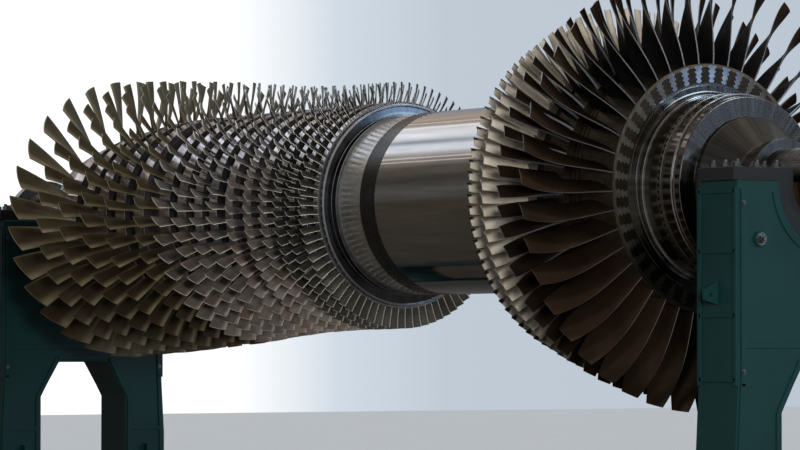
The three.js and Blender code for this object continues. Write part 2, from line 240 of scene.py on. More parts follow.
def ramp(nt, fac, stops):
    r = node(nt, "ShaderNodeValToRGB")
    el = r.color_ramp.elements
    while len(el) < len(stops):
        el.new(0.5)
    for e, (p, c) in zip(el, stops):
        e.position = p
        e.color = (*c, 1.0) if len(c) == 3 else c
    nt.links.new(fac, r.inputs["Fac"])
    return r.outputs["Color"]


def remap(nt, fac, lo, hi, a=0.3, b=0.7):
    m = node(nt, "ShaderNodeMapRange")
    m.inputs["From Min"].default_value = a
    m.inputs["From Max"].default_value = b
    m.inputs["To Min"].default_value = lo
    m.inputs["To Max"].default_value = hi
    nt.links.new(fac, m.inputs["Value"])
    return m.outputs["Result"]


def mix(nt, fac, a, b, blend="MIX"):
    m = node(nt, "ShaderNodeMix", data_type="RGBA", blend_type=blend)
    for key, val in (("Factor", fac), ("A", a), ("B", b)):
        sock = [s for s in m.inputs if s.name == key and (s.type == "RGBA" if key in "AB" else s.type == "VALUE")][0]
        if hasattr(val, "is_linked") or hasattr(val, "links"):
            nt.links.new(val, sock)
        else:
            sock.default_value = val if key == "Factor" else (*val, 1.0)
    return [s for s in m.outputs if s.type == "RGBA"][0]


def bump(nt, bsdf, height, strength, distance):
    b = node(nt, "ShaderNodeBump")
    b.inputs["Strength"].default_value = strength
    b.inputs["Distance"].default_value = distance
    nt.links.new(height, b.inputs["Height"])
    nt.links.new(b.outputs["Normal"], bsdf.inputs["Normal"])


def mark(nt, key, lo, hi):
    """0 to 1 as a blade's chord or span mark goes from lo to hi."""
    at = node(nt, "ShaderNodeAttribute", attribute_name=key)
    mr = node(nt, "ShaderNodeMapRange", interpolation_type="SMOOTHSTEP")
    mr.inputs["From Min"].default_value = lo
    mr.inputs["From Max"].default_value = hi
    nt.links.new(at.outputs["Fac"], mr.inputs["Value"])
    return mr.outputs["Result"]


def times(nt, a, b):
    m = node(nt, "ShaderNodeMath", operation="MULTIPLY")
    for sock, val in ((m.inputs[0], a), (m.inputs[1], b)):
        if hasattr(val, "links"):
            nt.links.new(val, sock)
        else:
            sock.default_value = val
    return m.outputs[0]


def metal(name, dark, light, rough=(0.25, 0.4), metallic=1.0, scale=6.0, bump_scale=160.0, bump_strength=0.12,
          stain=None, stain_scale=2.5, stain_amount=0.5, painted_tail_highlight=None, painted_nose_shade=None, dark_tip_corner=None, specular=0.5, edge_tint=None):
    """Worked metal: two tones of large mottling, a fine grain, an optional stain, optional painted shade and painted
    highlight along a blade's chord, and an optional dark tip corner.
    """
    m, nt, bs = new_mat(name)
    big = noise_at(nt, scale, 5.0, 0.6)
    col = ramp(nt, big, [(0.30, dark), (0.70, light)])
    if stain:
        st = noise_at(nt, stain_scale, 3.0, 0.5, distortion=0.6)
        f = remap(nt, st, 0.0, stain_amount, 0.45, 0.68)
        col = mix(nt, f, col, stain)
    if painted_nose_shade:  # (colour, from, to, amount): painted shade, darker towards the leading edge
        col = mix(nt, times(nt, mark(nt, "chord", painted_nose_shade[2], painted_nose_shade[1]), painted_nose_shade[3]), col, painted_nose_shade[0])
    if painted_tail_highlight:  # (colour, from, to, amount): painted highlight, lighter towards the trailing edge
        col = mix(nt, times(nt, mark(nt, "chord", painted_tail_highlight[1], painted_tail_highlight[2]), painted_tail_highlight[3]), col, painted_tail_highlight[0])
    if dark_tip_corner:  # dark leading corner of the tip
        col = mix(nt, times(nt, mark(nt, "chord", 0.52, 0.40), mark(nt, "span", 0.84, 0.90)), col, dark_tip_corner)
    nt.links.new(col, bs.inputs["Base Color"])
    bs.inputs["Metallic"].default_value = metallic
    bs.inputs["Specular IOR Level"].default_value = specular
    if edge_tint:
        bs.inputs["Specular Tint"].default_value = (*edge_tint, 1.0)
    rg = noise_at(nt, scale * 7.0, 4.0, 0.6)
    nt.links.new(remap(nt, rg, rough[0], rough[1]), bs.inputs["Roughness"])
    if bump_strength:
        fine = noise_at(nt, bump_scale, 3.0, 0.6)
        bump(nt, bs, fine, bump_strength, 0.0006)
    return m


def turned_metal(name, dark, light, rough=(0.16, 0.30), line_scale=900.0, line_strength=0.05, blotch=1.3, streak=None, metallic=1.0):
    """Turned metal: fine rings round the axis, slow blotches and lengthwise wipe marks."""
    m, nt, bs = new_mat(name)
    tc = node(nt, "ShaderNodeTexCoord")
    sep = node(nt, "ShaderNodeSeparateXYZ")
    nt.links.new(tc.outputs["Object"], sep.inputs["Vector"])
    # angle round the axis
    dz = node(nt, "ShaderNodeMath", operation="SUBTRACT")
    nt.links.new(sep.outputs["Z"], dz.inputs[0])
    dz.inputs[1].default_value = AZ
    ang = node(nt, "ShaderNodeMath", operation="ARCTAN2")
    nt.links.new(sep.outputs["Y"], ang.inputs[0])
    nt.links.new(dz.outputs[0], ang.inputs[1])
    # rings: a noise that changes only along X
    comb = node(nt, "ShaderNodeCombineXYZ")
    nt.links.new(sep.outputs["X"], comb.inputs["X"])
    rings = node(nt, "ShaderNodeTexNoise")
    rings.inputs["Scale"].default_value = line_scale
    rings.inputs["Detail"].default_value = 2.0
    nt.links.new(comb.outputs["Vector"], rings.inputs["Vector"])
    slow = node(nt, "ShaderNodeTexNoise")
    slow.inputs["Scale"].default_value = 14.0
    slow.inputs["Detail"].default_value = 3.0
    nt.links.new(comb.outputs["Vector"], slow.inputs["Vector"])
    # wipe marks: long in X, short round the drum
    comb2 = node(nt, "ShaderNodeCombineXYZ")
    sx = node(nt, "ShaderNodeMath", operation="MULTIPLY")
    nt.links.new(sep.outputs["X"], sx.inputs[0])
    sx.inputs[1].default_value = 0.7
    sa = node(nt, "ShaderNodeMath", operation="MULTIPLY")
    nt.links.new(ang.outputs[0], sa.inputs[0])
    sa.inputs[1].default_value = 9.0
    nt.links.new(sx.outputs[0], comb2.inputs["X"])
    nt.links.new(sa.outputs[0], comb2.inputs["Y"])
    wipe = node(nt, "ShaderNodeTexNoise")
    wipe.inputs["Scale"].default_value = 1.6
    wipe.inputs["Detail"].default_value = 5.0
    wipe.inputs["Roughness"].default_value = 0.6
    nt.links.new(comb2.outputs["Vector"], wipe.inputs["Vector"])
    col = ramp(nt, wipe.outputs["Fac"], [(0.32, dark), (0.66, light)])
    b2 = noise_at(nt, blotch, 4.0, 0.55)
    col = mix(nt, remap(nt, b2, 0.0, 0.45, 0.4, 0.7), col, tuple(c * 0.72 for c in light))
    if streak:
        col = mix(nt, remap(nt, slow.outputs["Fac"], 0.0, 0.5, 0.5, 0.7), col, streak)
    nt.links.new(col, bs.inputs["Base Color"])
    bs.inputs["Metallic"].default_value = metallic
    add = node(nt, "ShaderNodeMath", operation="ADD")
    nt.links.new(remap(nt, slow.outputs["Fac"], rough[0], rough[1]), add.inputs[0])
    nt.links.new(remap(nt, wipe.outputs["Fac"], -0.03, 0.05), add.inputs[1])
    nt.links.new(add.outputs[0], bs.inputs["Roughness"])
    bump(nt, bs, rings.outputs["Fac"], line_strength, 0.0004)
    return m


def paint(name, base, dirt, rough=(0.3, 0.5), chips=None):
    m, nt, bs = new_mat(name)
    big = noise_at(nt, 1.4, 6.0, 0.6)
    col = mix(nt, remap(nt, big, 0.0, 0.55, 0.42, 0.72), base, dirt)
    if chips:
        sp = noise_at(nt, 9.0, 8.0, 0.75)
        col = mix(nt, remap(nt, sp, 0.0, 1.0, 0.70, 0.73), col, chips)
    nt.links.new(col, bs.inputs["Base Color"])
    rg = noise_at(nt, 12.0, 4.0, 0.6)
    nt.links.new(remap(nt, rg, rough[0], rough[1]), bs.inputs["Roughness"])
    peel = noise_at(nt, 120.0, 3.0, 0.5)
    bump(nt, bs, peel, 0.10, 0.0008)
    return m


# compressor blades: the light colour towards each trailing edge is a painted highlight
M_FRONT = metal("front_blades", (0.145, 0.124, 0.080), (0.27, 0.235, 0.155), rough=(0.28, 0.40), metallic=0.84, scale=2.2,
                stain=(0.20, 0.115, 0.070), stain_scale=1.7, stain_amount=0.6, bump_strength=0.02, painted_tail_highlight=((0.66, 0.58, 0.40), 0.62, 0.92, 0.75),
                edge_tint=(0.75, 0.74, 0.70))
M_STEEL = metal("steel_blades", (0.19, 0.175, 0.175), (0.66, 0.62, 0.61), rough=(0.12, 0.22), metallic=0.76, scale=5.0,
                stain=(0.50, 0.31, 0.24), stain_scale=3.1, stain_amount=0.5, bump_strength=0.02, painted_tail_highlight=((0.92, 0.87, 0.82), 0.72, 0.96, 0.75),
                edge_tint=(0.36, 0.41, 0.46))
M_REAR = metal("rear_blades", (0.075, 0.075, 0.072), (0.22, 0.22, 0.215), rough=(0.22, 0.32), metallic=0.82, scale=3.0,
               bump_strength=0.02, painted_tail_highlight=((0.98, 0.92, 0.78), 0.84, 0.97, 0.9), edge_tint=(0.36, 0.41, 0.46))
# near-white steel for the compressor's tips and trailing edges: partly the ground tips' bare finish, partly a painted
# highlight
M_TIP_HIGHLIGHT = metal("ground_tips", (0.74, 0.71, 0.64), (0.95, 0.92, 0.84), rough=(0.35, 0.5), metallic=0.25, scale=9.0, bump_strength=0.02)
M_TIP_F = metal("front_tips", (0.30, 0.27, 0.19), (0.45, 0.41, 0.30), rough=(0.35, 0.5), metallic=0.4, scale=9.0, bump_strength=0.02)
M_RIM = metal("rims", (0.38, 0.36, 0.37), (0.86, 0.85, 0.87), rough=(0.12, 0.24), metallic=0.93, scale=11.0, bump_scale=30.0, bump_strength=0.06)
# painted shade: the compressor's grooves get a darker copy of the rim steel
M_GROOVE_SHADE = metal("grooves", (0.11, 0.10, 0.10), (0.25, 0.235, 0.235), rough=(0.25, 0.4), metallic=0.6, scale=8.0)
# coated turbine blades: the dark brown towards the leading edge is painted shade
M_COAT_A = metal("coated_blades_1", (0.76, 0.69, 0.57), (0.93, 0.87, 0.76), rough=(0.42, 0.62), metallic=0.0, scale=10.0,
                 bump_scale=420.0, bump_strength=0.25, stain=(0.34, 0.27, 0.19), stain_scale=5.0, stain_amount=0.5,
                 painted_nose_shade=((0.13, 0.095, 0.068), 0.24, 0.60, 0.95), dark_tip_corner=(0.012, 0.010, 0.012))
M_COAT = metal("coated_blades", (0.74, 0.665, 0.55), (0.92, 0.86, 0.74), rough=(0.42, 0.62), metallic=0.0, scale=10.0,
               bump_scale=420.0, bump_strength=0.25, stain=(0.30, 0.23, 0.16), stain_scale=5.0, stain_amount=0.5,
               painted_nose_shade=((0.12, 0.088, 0.062), 0.26, 0.66, 0.92))
M_COAT_TIP = metal("coated_tips", (0.60, 0.57, 0.50), (0.80, 0.77, 0.70), rough=(0.42, 0.6), metallic=0.1, scale=14.0, bump_strength=0.05,
                   dark_tip_corner=(0.012, 0.010, 0.012))
M_COAT_TIP2 = metal("coated_tips_2", (0.60, 0.57, 0.50), (0.80, 0.77, 0.70), rough=(0.42, 0.6), metallic=0.1, scale=14.0, bump_strength=0.05)
# painted shade: a near-black copy of the blade metal for the concave sides of turbine rows 3 and 4
M_HOLLOW_SHADE = metal("hollow_sides", (0.030, 0.028, 0.029), (0.062, 0.058, 0.060), rough=(0.26, 0.36), metallic=0.75, scale=3.0, bump_strength=0.02,
                 edge_tint=(0.06, 0.06, 0.065))
M_DARK = metal("dark_blades", (0.050, 0.033, 0.022), (0.110, 0.074, 0.050), rough=(0.26, 0.40), metallic=0.85, scale=2.6,
               stain=(0.13, 0.075, 0.045), stain_scale=1.7, stain_amount=0.6, bump_strength=0.03, edge_tint=(0.22, 0.18, 0.15))
# painted highlight: light grey copies of the blade metal for the trailing edges and tips of turbine rows 3 and 4, with
# a bluish painted reflection on row 3
M_EDGE_HIGHLIGHT = metal("edge_steel", (0.42, 0.42, 0.42), (0.62, 0.62, 0.62), rough=(0.30, 0.42), metallic=0.92, scale=6.0, bump_strength=0.02)
M_EDGE_HIGHLIGHT_3 = metal("edge_painted_highlight_3", (0.36, 0.38, 0.42), (0.54, 0.57, 0.63), rough=(0.30, 0.42), metallic=0.72, scale=6.0, bump_strength=0.02)
M_EDGE_GOLD = metal("wheel_edge", (0.12, 0.095, 0.065), (0.22, 0.18, 0.125), rough=(0.25, 0.36), metallic=0.6, scale=9.0, bump_strength=0.03)
M_STRIP = metal("hole_ring", (0.46, 0.44, 0.42), (0.64, 0.62, 0.59), rough=(0.16, 0.24), metallic=0.88, scale=9.0, bump_strength=0.03)
M_DISC = turned_metal("wheel_faces", (0.20, 0.185, 0.165), (0.36, 0.34, 0.31), rough=(0.07, 0.13))
M_ROOT_A = metal("root_steel", (0.125, 0.125, 0.105), (0.23, 0.23, 0.20), rough=(0.03, 0.06), metallic=0.6, scale=14.0, bump_strength=0.01)
M_ROOT_B = metal("root_dark", (0.026, 0.020, 0.013), (0.050, 0.038, 0.026), rough=(0.22, 0.34), metallic=0.5, scale=14.0, bump_strength=0.04)
M_DRUM = turned_metal("drum_steel", (0.50, 0.48, 0.46), (0.72, 0.70, 0.68), rough=(0.03, 0.07), line_strength=0.014)
M_DRUM_F = turned_metal("drum_front_steel", (0.52, 0.51, 0.50), (0.88, 0.86, 0.84), rough=(0.15, 0.23), line_strength=0.02, blotch=6.0, metallic=0.75)
# painted shade: the exit ring's channel gets a darker copy of the ring's steel than its lip
M_CHANNEL_SHADE = turned_metal("ring_channel_steel", (0.11, 0.115, 0.125), (0.20, 0.205, 0.22), rough=(0.10, 0.18), line_strength=0.02)
M_LIP_B = turned_metal("ring_lip_steel", (0.22, 0.225, 0.235), (0.36, 0.365, 0.38), rough=(0.10, 0.18), line_strength=0.02)
# painted highlight: light copies of the turned steel for thin edges on the exit ring and the rear drum
M_TURNED_HIGHLIGHT = turned_metal("turned_edges", (0.62, 0.62, 0.63), (0.80, 0.80, 0.81), rough=(0.14, 0.22), line_strength=0.01, metallic=0.45)
M_TURNED_HIGHLIGHT_REAR = turned_metal("turned_edges_rear", (0.60, 0.59, 0.57), (0.78, 0.77, 0.75), rough=(0.12, 0.20), line_strength=0.01, metallic=0.85)
M_BAND = metal("matte_band", (0.005, 0.0048, 0.0048), (0.011, 0.0105, 0.010), rough=(0.22, 0.31), metallic=0.0, scale=6.0, bump_strength=0.05, specular=0.75)
M_SHAFT = turned_metal("shaft_steel", (0.14, 0.13, 0.125), (0.29, 0.27, 0.255), rough=(0.2, 0.34), line_strength=0.06)
M_REAR_DRUM = turned_metal("rear_drum_steel", (0.22, 0.20, 0.175), (0.50, 0.46, 0.41), rough=(0.09, 0.17), line_strength=0.02)
# painted shade: near-black for holes and slots that are not cut
M_HOLE_SHADE = metal("hole_dark", (0.003, 0.003, 0.003), (0.008, 0.008, 0.008), rough=(0.6, 0.8), metallic=0.0, specular=0.05)
M_BOLT = metal("bolt_steel", (0.28, 0.27, 0.26), (0.55, 0.53, 0.52), rough=(0.25, 0.4), scale=40.0)
M_TEAL = paint("teal_paint", (0.009, 0.044, 0.046), (0.005, 0.024, 0.025), rough=(0.28, 0.46), chips=(0.10, 0.11, 0.11))
M_BLACK = paint("dark_steel", (0.022, 0.024, 0.027), (0.012, 0.012, 0.013), rough=(0.38, 0.55), chips=(0.12, 0.12, 0.12))
M_BRONZE = metal("bearing_metal", (0.30, 0.20, 0.09), (0.52, 0.37, 0.19), rough=(0.25, 0.4), scale=12.0)


# ------------------------------------------------------------------ blades
BLUNT = 0.22


def blade_loop(m, blunt):
    """Chordwise stations and half thickness of one closed airfoil loop, from the trailing edge over the convex
    side to the leading edge and back."""
    u = 0.5 * (1 - np.cos(np.linspace(0, math.pi, m)))
    t = 5 * (0.2969 * np.sqrt(u) - 0.1260 * u - 0.3516 * u ** 2 + 0.2843 * u ** 3 - 0.1015 * u ** 4)
    t = t + blunt * u  # a blunt trailing edge
    up_u, up_t = u[::-1], t[::-1]
    lo_u, lo_t = u[1:], -t[1:]
    return np.concatenate([up_u, lo_u]), np.concatenate([up_t, lo_t])


def blade_row(bag, n, phase, sect, m=9, suction=-1.0, edge=True, hollow_shade=0, blunt=BLUNT):
    """Adds n blades. sect is a list of spanwise sections, root to tip: leading x, trailing x, leading angle offset,
    trailing angle offset (degrees from the blade's own angle), radius function of x, camber and thickness as shares
    of the chord."""
    u, t = blade_loop(m, blunt)
    npt = len(u)
    xs, rs, ths = [], [], []
    for xl, xt, al, at, rf, camber, thick in sect:
        rm = float(rf(np.array([(xl + xt) / 2]))[0])
        sl, st = rad(al) * rm, rad(at) * rm
        ex, es = xt - xl, st - sl
        c = math.hypot(ex, es)
        ex, es = ex / c, es / c
        nx, ns = -es, ex  # normal in the developed plane
        if ns * suction < 0:
            nx, ns = -nx, -ns
        cam = camber * c * 4 * u * (1 - u) * (1.15 - 0.3 * u)
        off = cam + t * thick * c
        px = xl + ex * u * c + nx * off
        ps = sl + es * u * c + ns * off
        r = rf(px)
        xs.append(px)
        rs.append(r)
        ths.append(ps / rm)
    xs, rs, ths = np.array(xs), np.array(rs), np.array(ths)
    ns_ = len(sect)
    faces, index = [], []
    for k in range(ns_ - 1):
        for i in range(npt):
            j = (i + 1) % npt
            faces.append((k * npt + i, k * npt + j, (k + 1) * npt + j, (k + 1) * npt + i))
            # the trailing edge face takes slot 1 and the second side the given slot, which on turbine rows 3 and 4 is a
            # near-black painted shade
            index.append(1 if edge and i == npt - 1 else hollow_shade if i >= m - 1 else 0)
    top = (ns_ - 1) * npt
    half = m - 1
    # tip and root caps as strips between the two sides
    for base in (0, top):
        for i in range(half):
            a, b = base + i, base + i + 1
            c_, d_ = base + (npt - 1 - i), base + (npt - 2 - i)
            if i == half - 1:
                faces.append((a, b, c_))
            else:
                faces.append((a, b, d_, c_))
            index.append(1 if base else 0)
    marks = np.stack([np.tile(u, ns_), np.repeat(np.linspace(0, 1, ns_), npt)], -1)
    for j in range(n):
        v = cyl(xs, rs, ths + rad(phase + j * 360.0 / n))
        bag.add(v, faces, index, marks)


def span_sections(x_mid_root, x_mid_tip, c_root, c_tip, phi_root, phi_tip, r_root, r_tip, tip_mid_angle, root_mid_angle,
                  k=7, power=1.0, camber=(0.07, 0.04), thick=(0.10, 0.05), bow=0.0, embed=0.004, c_power=1.0):
    """Sections of a twisted blade from its chord and stagger at the root and the tip."""
    out = []
    for i in range(k):
        s = i / (k - 1)
        phi = rad(phi_root + (phi_tip - phi_root) * s ** power)
        c = c_root + (c_tip - c_root) * s ** c_power
        xm = x_mid_root + (x_mid_tip - x_mid_root) * s
        am = root_mid_angle + (tip_mid_angle - root_mid_angle) * s + bow * 4 * s * (1 - s)

        def rf(x, s=s):
            a, b = r_root(x) - (embed if s == 0 else 0.0), r_tip(x)
            return a + (b - a) * s

        rm = float(np.atleast_1d(rf(np.array([xm])))[0])
        dx, ds = c * math.cos(phi) / 2, c * math.sin(phi) / 2
        da = math.degrees(ds / rm)
        out.append((xm - dx, xm + dx, am + da, am - da, rf, camber[0] + (camber[1] - camber[0]) * s ** c_power,
                    thick[0] + (thick[1] - thick[0]) * s))
    return out


def mid_t(i):
    return (ROWS[i][0] + ROWS[i][1]) / 2


def block_row(bag, n, mid, xa, xb, ra, rb, skew, depth, gap=0.0012, seg=3, ch=0.003):
    """Platform blocks of one row: one for each blade, with a hairline between them."""
    p = 360.0 / n
    g = math.degrees(gap / max(ra, rb))
    w = 6
    for j in range(n):
        vs, fs = [], []
        for ang in np.linspace(mid + j * p - p / 2 + g, mid + j * p + p / 2 - g, seg + 1):
            for xx, rr, sk in ((xa, ra - depth, skew), (xa, ra - ch, skew), (xa + ch, ra, skew),
                               (xb - ch, rb, -skew), (xb, rb - ch, -skew), (xb, rb - depth, -skew)):
                vs.append(cyl(xx, rr, rad(ang + sk)))
        for q in range(seg):
            for e in range(w):
                f = (e + 1) % w
                fs.append((q * w + e, q * w + f, (q + 1) * w + f, (q + 1) * w + e))
        fs.append(tuple(range(w)))
        fs.append(tuple(seg * w + e for e in range(w)))
        bag.add(np.array(vs), fs)


# shape of the blades: share of the tip's stagger and chord at the root, lean of the root in degrees
front, steel, rear = Bag(), Bag(), Bag()
plat_front, plat = Bag(), Bag()
LEAN = [-3.2, -2.2, -1.6, -1.2, -0.9, -0.7] + [-0.5] * 10
for i, (tl, tt, turn, n, phase) in enumerate(ROWS):
    a = tl - tt
    rt = float(tip_r(X((tl + tt) / 2))) / RD
    b = rad(turn) * rt
    c_tip, phi_tip = math.hypot(a, b) * RD, math.degrees(math.atan2(b, a))
    phi_root = phi_tip * (0.44 + 0.31 * i / 15.0)
    c_root = c_tip * (0.83 + 0.07 * min(1.0, i / 5.0))
    xa, xb = X(RIMS[i][0]), X(RIMS[i][1])
    xm = (xa + xb) / 2
    sect = span_sections(xm, X(mid_t(i)), c_root, c_tip, phi_root, phi_tip, hub_r, tip_r, -turn / 2, -turn / 2 + LEAN[i],
                         k=9 if i < 6 else 6, power=0.73 if i < 6 else 0.85, bow=0.76 if i < 3 else 0.2,
                         camber=(0.085, 0.045), thick=(0.10, 0.045) if i < 6 else (0.11, 0.080))
    blade_row(front if i < 6 else steel if i < 13 else rear, n, phase, sect, m=10 if i < 6 else 7)
    skew = math.degrees((xb - xa) / 2 * math.tan(rad(phi_root)) / hub_r(xm))
    block_row(plat_front if i < 6 else plat, n, phase - turn / 2 + LEAN[i], xa, xb, float(hub_r(xa)), float(hub_r(xb)), skew, 0.05)

ob_front = front.make("compressor_blades_front", M_FRONT, smooth=40, slot="front_blades", second=M_TIP_F)
ob_steel = steel.make("compressor_blades_middle", M_STEEL, smooth=40, slot="steel_blades", second=M_TIP_HIGHLIGHT)
ob_rear = rear.make("compressor_blades_rear", M_REAR, smooth=40, slot="steel_blades", second=M_TIP_HIGHLIGHT)
ob_pf = plat_front.make("compressor_platforms_front", M_RIM, smooth=25, slot="front_blades")
ob_plat = plat.make("compressor_platforms", M_RIM, smooth=25, slot="steel_blades")

# core of the compressor: the deep grooves between the rims, in a darker copy of the rim steel as painted shade
DEEP = 0.13
prof = []
x_start = X(RIMS[0][0])
core = [(x_start + 0.002, 0.0), (x_start + 0.002, float(hub_r(x_start)) - 0.02)]
for i in range(16):
    xa, xb = X(RIMS[i][0]), X(RIMS[i][1])
    core.append((xa + 0.004, float(hub_r(xa)) - 0.02))
    core.append((xb - 0.004, float(hub_r(xb)) - 0.02))
    if i < 15:
        xn = X(RIMS[i + 1][0])
        d = DEEP * RD
        core.append((xb - 0.004, float(hub_r(xb)) - d))
        core.append((xn + 0.004, float(hub_r(xn)) - d))
core.append((X(RIMS[15][1]) - 0.002, 0.0))
core = [core[0]] + [p for k, p in enumerate(core[1:-1]) if k == 0 or abs(p[0] - core[k][0]) > 1e-6 or abs(p[1] - core[k][1]) > 1e-6] + [core[-1]]
ob_core = lathe("compressor_core", core, M_GROOVE_SHADE, seg=160, smooth=20, slot="steel_blades")
for i in range(16):
    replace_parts(ob_front if i < 6 else ob_steel if i < 13 else ob_rear, "compressor_stage_%02d" % (i + 1))

# ------------------------------------------------------------------ inlet cone and front shaft
ob = lathe("inlet_cone_fine", bevel_profile([
    (X(6.27), 0.0), (X(6.27), 0.58), (X(6.25), 0.80 * RD - 0.02), (X(6.225), 0.815 * RD), (X(6.08), 0.853 * RD), (X(6.075), 0.840 * RD),
    (X(6.05), 0.840 * RD), (X(6.045), 0.862 * RD), (X(RIMS[0][0]) - 0.001, float(hub_r(X(RIMS[0][0]))) - 0.002), (X(RIMS[0][0]) - 0.001, 0.0)], 0.004),
    M_SHAFT, slot="shaft_steel")
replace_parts(ob, "inlet_cone")
lo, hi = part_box("front_shaft")
s0 = X(7.18)
ob = lathe("front_shaft_fine", bevel_profile([
    (X(7.72), 0.0), (X(7.72), 0.225), (s0 - 0.25, 0.225), (s0 - 0.25, 0.26), (s0 + 0.25, 0.26), (s0 + 0.25, 0.335),
    (s0 + 0.32, 0.335), (s0 + 0.32, 0.28), (X(6.45), 0.30), (X(6.27) - 0.001, 0.43), (X(6.27) - 0.001, 0.0)], 0.006), M_SHAFT, slot="shaft_steel")
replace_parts(ob, "front_shaft")
ob = lathe("front_coupling_fine", bevel_profile([
    (-5.700, 0.0), (-5.700, 0.15), (-5.694, 0.15), (-5.694, 0.40), (-5.61, 0.40), (-5.61, 0.30), (X(7.72) - 0.0005, 0.26), (X(7.72) - 0.0005, 0.0)], 0.004),
    M_SHAFT, slot="shaft_steel")
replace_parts(ob, "front_coupling")

# ------------------------------------------------------------------ exit ring and drum
te = RIMS[15][1]
ob = lathe("exit_ring_fine", bevel_profile([
    (X(te) + 0.001, 0.0), (X(te) + 0.001, 1.095 * RD), (X(-0.109), 1.090 * RD), (X(-0.109), 1.085 * RD),
    (X(-0.113), 1.030 * RD), (X(-0.1155), 1.004 * RD), (X(-0.1155), 0.9985 * RD), (X(-0.202), 0.9985 * RD), (X(-0.205), 0.990 * RD),
    (X(-0.300), 0.990 * RD), (X(-0.300), 0.0)], 0.0015),
    M_CHANNEL_SHADE, seg=256, slot="polished_steel")
lathe("exit_ring_lip", bevel_profile([
    (X(te) + 0.0015, 1.08 * RD), (X(te) + 0.0015, 1.124 * RD), (X(-0.094), 1.119 * RD), (X(-0.108), 1.115 * RD), (X(-0.112), 1.098 * RD),
    (X(-0.112), 1.090 * RD), (X(-0.100), 1.080 * RD)], 0.0020), M_LIP_B, seg=256, slot="polished_steel")
# turned edges in a much lighter copy of the ring's steel, a painted highlight: the lip, the two shoulders of the seat
# behind it
for nme, ta, tb, r0, r1 in (("edge_1", -0.105, -0.120, 1.098, 1.1185), ("edge_2", -0.113, -0.124, 0.985, 1.0015), ("edge_3", -0.200, -0.2095, 0.985, 1.0010)):
    lathe("exit_ring_" + nme, bevel_profile([(X(ta), r0 * RD), (X(ta), r1 * RD), (X(tb), r1 * RD), (X(tb), r0 * RD)], 0.0035), M_TURNED_HIGHLIGHT, seg=256,
          slot="polished_steel")
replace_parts(ob, "exit_ring")
ob = lathe("drum_front_fine", bevel_profile([
    (X(-0.300) + 0.0005, 0.0), (X(-0.300) + 0.0005, 0.991 * RD), (X(-0.213), 0.991 * RD), (X(-0.213), RD), (X(-0.662), RD), (X(-0.662), 0.0)], 0.0015),
    M_DRUM_F, seg=256, slot="polished_steel")
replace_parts(ob, "drum_front")
# the exit ring's slots are near-black pucks standing just proud of the seat, painted shade in place of their depth,
# with pins standing in them
slot_shades, heads = Bag(), Bag()
for j in range(20):
    a = rad(-47.7 + 18.0 * j)
    er, et = np.array([0, math.sin(a), math.cos(a)]), np.array([0, math.cos(a), -math.sin(a)])
    for bag, c0, half_x, half_t, top in ((slot_shades, -0.180, 0.0125, 0.0095, 0.9995), (heads, -0.192, 0.0046, 0.006, 1.003)):
        base, k = np.array([X(c0), 0, AZ]), 12
        ring = [base + np.array([half_x, 0, 0]) * math.cos(q) + et * half_t * math.sin(q) for q in np.arange(k) * 2 * math.pi / k]
        low, high = [v + er * 0.97 * RD for v in ring], [v + er * top * RD for v in ring]
        bag.add(np.array(low + high), [tuple(range(k)), tuple(range(k, 2 * k))] + [(q, (q + 1) % k, k + (q + 1) % k, k + q) for q in range(k)])
slot_shades.make("exit_ring_slot_shades", M_HOLE_SHADE, smooth=30, slot="polished_steel")
heads.make("exit_ring_pins", M_BOLT, smooth=30, slot="polished_steel")
ob = lathe("drum_band_fine", bevel_profile([
    (X(-0.662) + 0.0005, 0.0), (X(-0.662) + 0.0005, RD - 0.0008), (X(-0.937), RD - 0.0008), (X(-0.937), 0.0)], 0.0015), M_BAND, seg=256, slot="matte_band")
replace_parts(ob, "drum_band")
ob = lathe("drum_main_fine", bevel_profile([
    (X(-0.937) + 0.0005, 0.0), (X(-0.937) + 0.0005, RD), (X(-3.40), RD), (X(-3.44), 1.04 * RD), (X(-3.46), 1.22 * RD), (X(-3.529), 1.22 * RD), (X(-3.529), 0.0)], 0.004),
    M_DRUM, seg=256, slot="polished_steel")
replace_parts(ob, "drum_main")

# ------------------------------------------------------------------ turbine
TURB = [
    dict(rim=(-3.530, -3.800), hub=(1.450, 1.440), le=(-3.620, 1.730), te=(-3.672, 1.738), turn=3.0, n=93, phase=-98.84,
         c_root=0.250, phi_root=30.0, camber=(0.20, 0.16), thick=(0.20, 0.15), power=0.9, c_power=1.0, lean=0.0),
    dict(rim=(-3.960, -4.260), hub=(1.430, 1.410), le=(-4.049, 1.880), te=(-4.101, 1.890), turn=3.4, n=90, phase=-98.98,
         c_root=0.270, phi_root=26.0, camber=(0.20, 0.14), thick=(0.18, 0.12), power=1.2, c_power=1.0, lean=0.0),
    dict(rim=(-4.420, -4.720), hub=(1.370, 1.345), le=(-4.566, 2.058), te=(-4.628, 2.068), turn=3.3, n=64, phase=-72.80,
         c_root=0.290, phi_root=15.0, camber=(0.10, 0.04), thick=(0.13, 0.08), power=1.8, c_power=1.6, lean=0.4),
    dict(rim=(-4.930, -5.380), hub=(1.300, 1.250), le=(-5.147, 2.222), te=(-5.215, 2.232), turn=4.2, n=42, phase=-94.55,
         c_root=0.450, phi_root=12.0, camber=(0.075, 0.04), thick=(0.115, 0.065), power=2.0, c_power=1.7, lean=-2.3),
]
coated1, coated, dark3, dark4 = Bag(), Bag(), Bag(), Bag()
tplat, tplat_dark = Bag(), Bag()
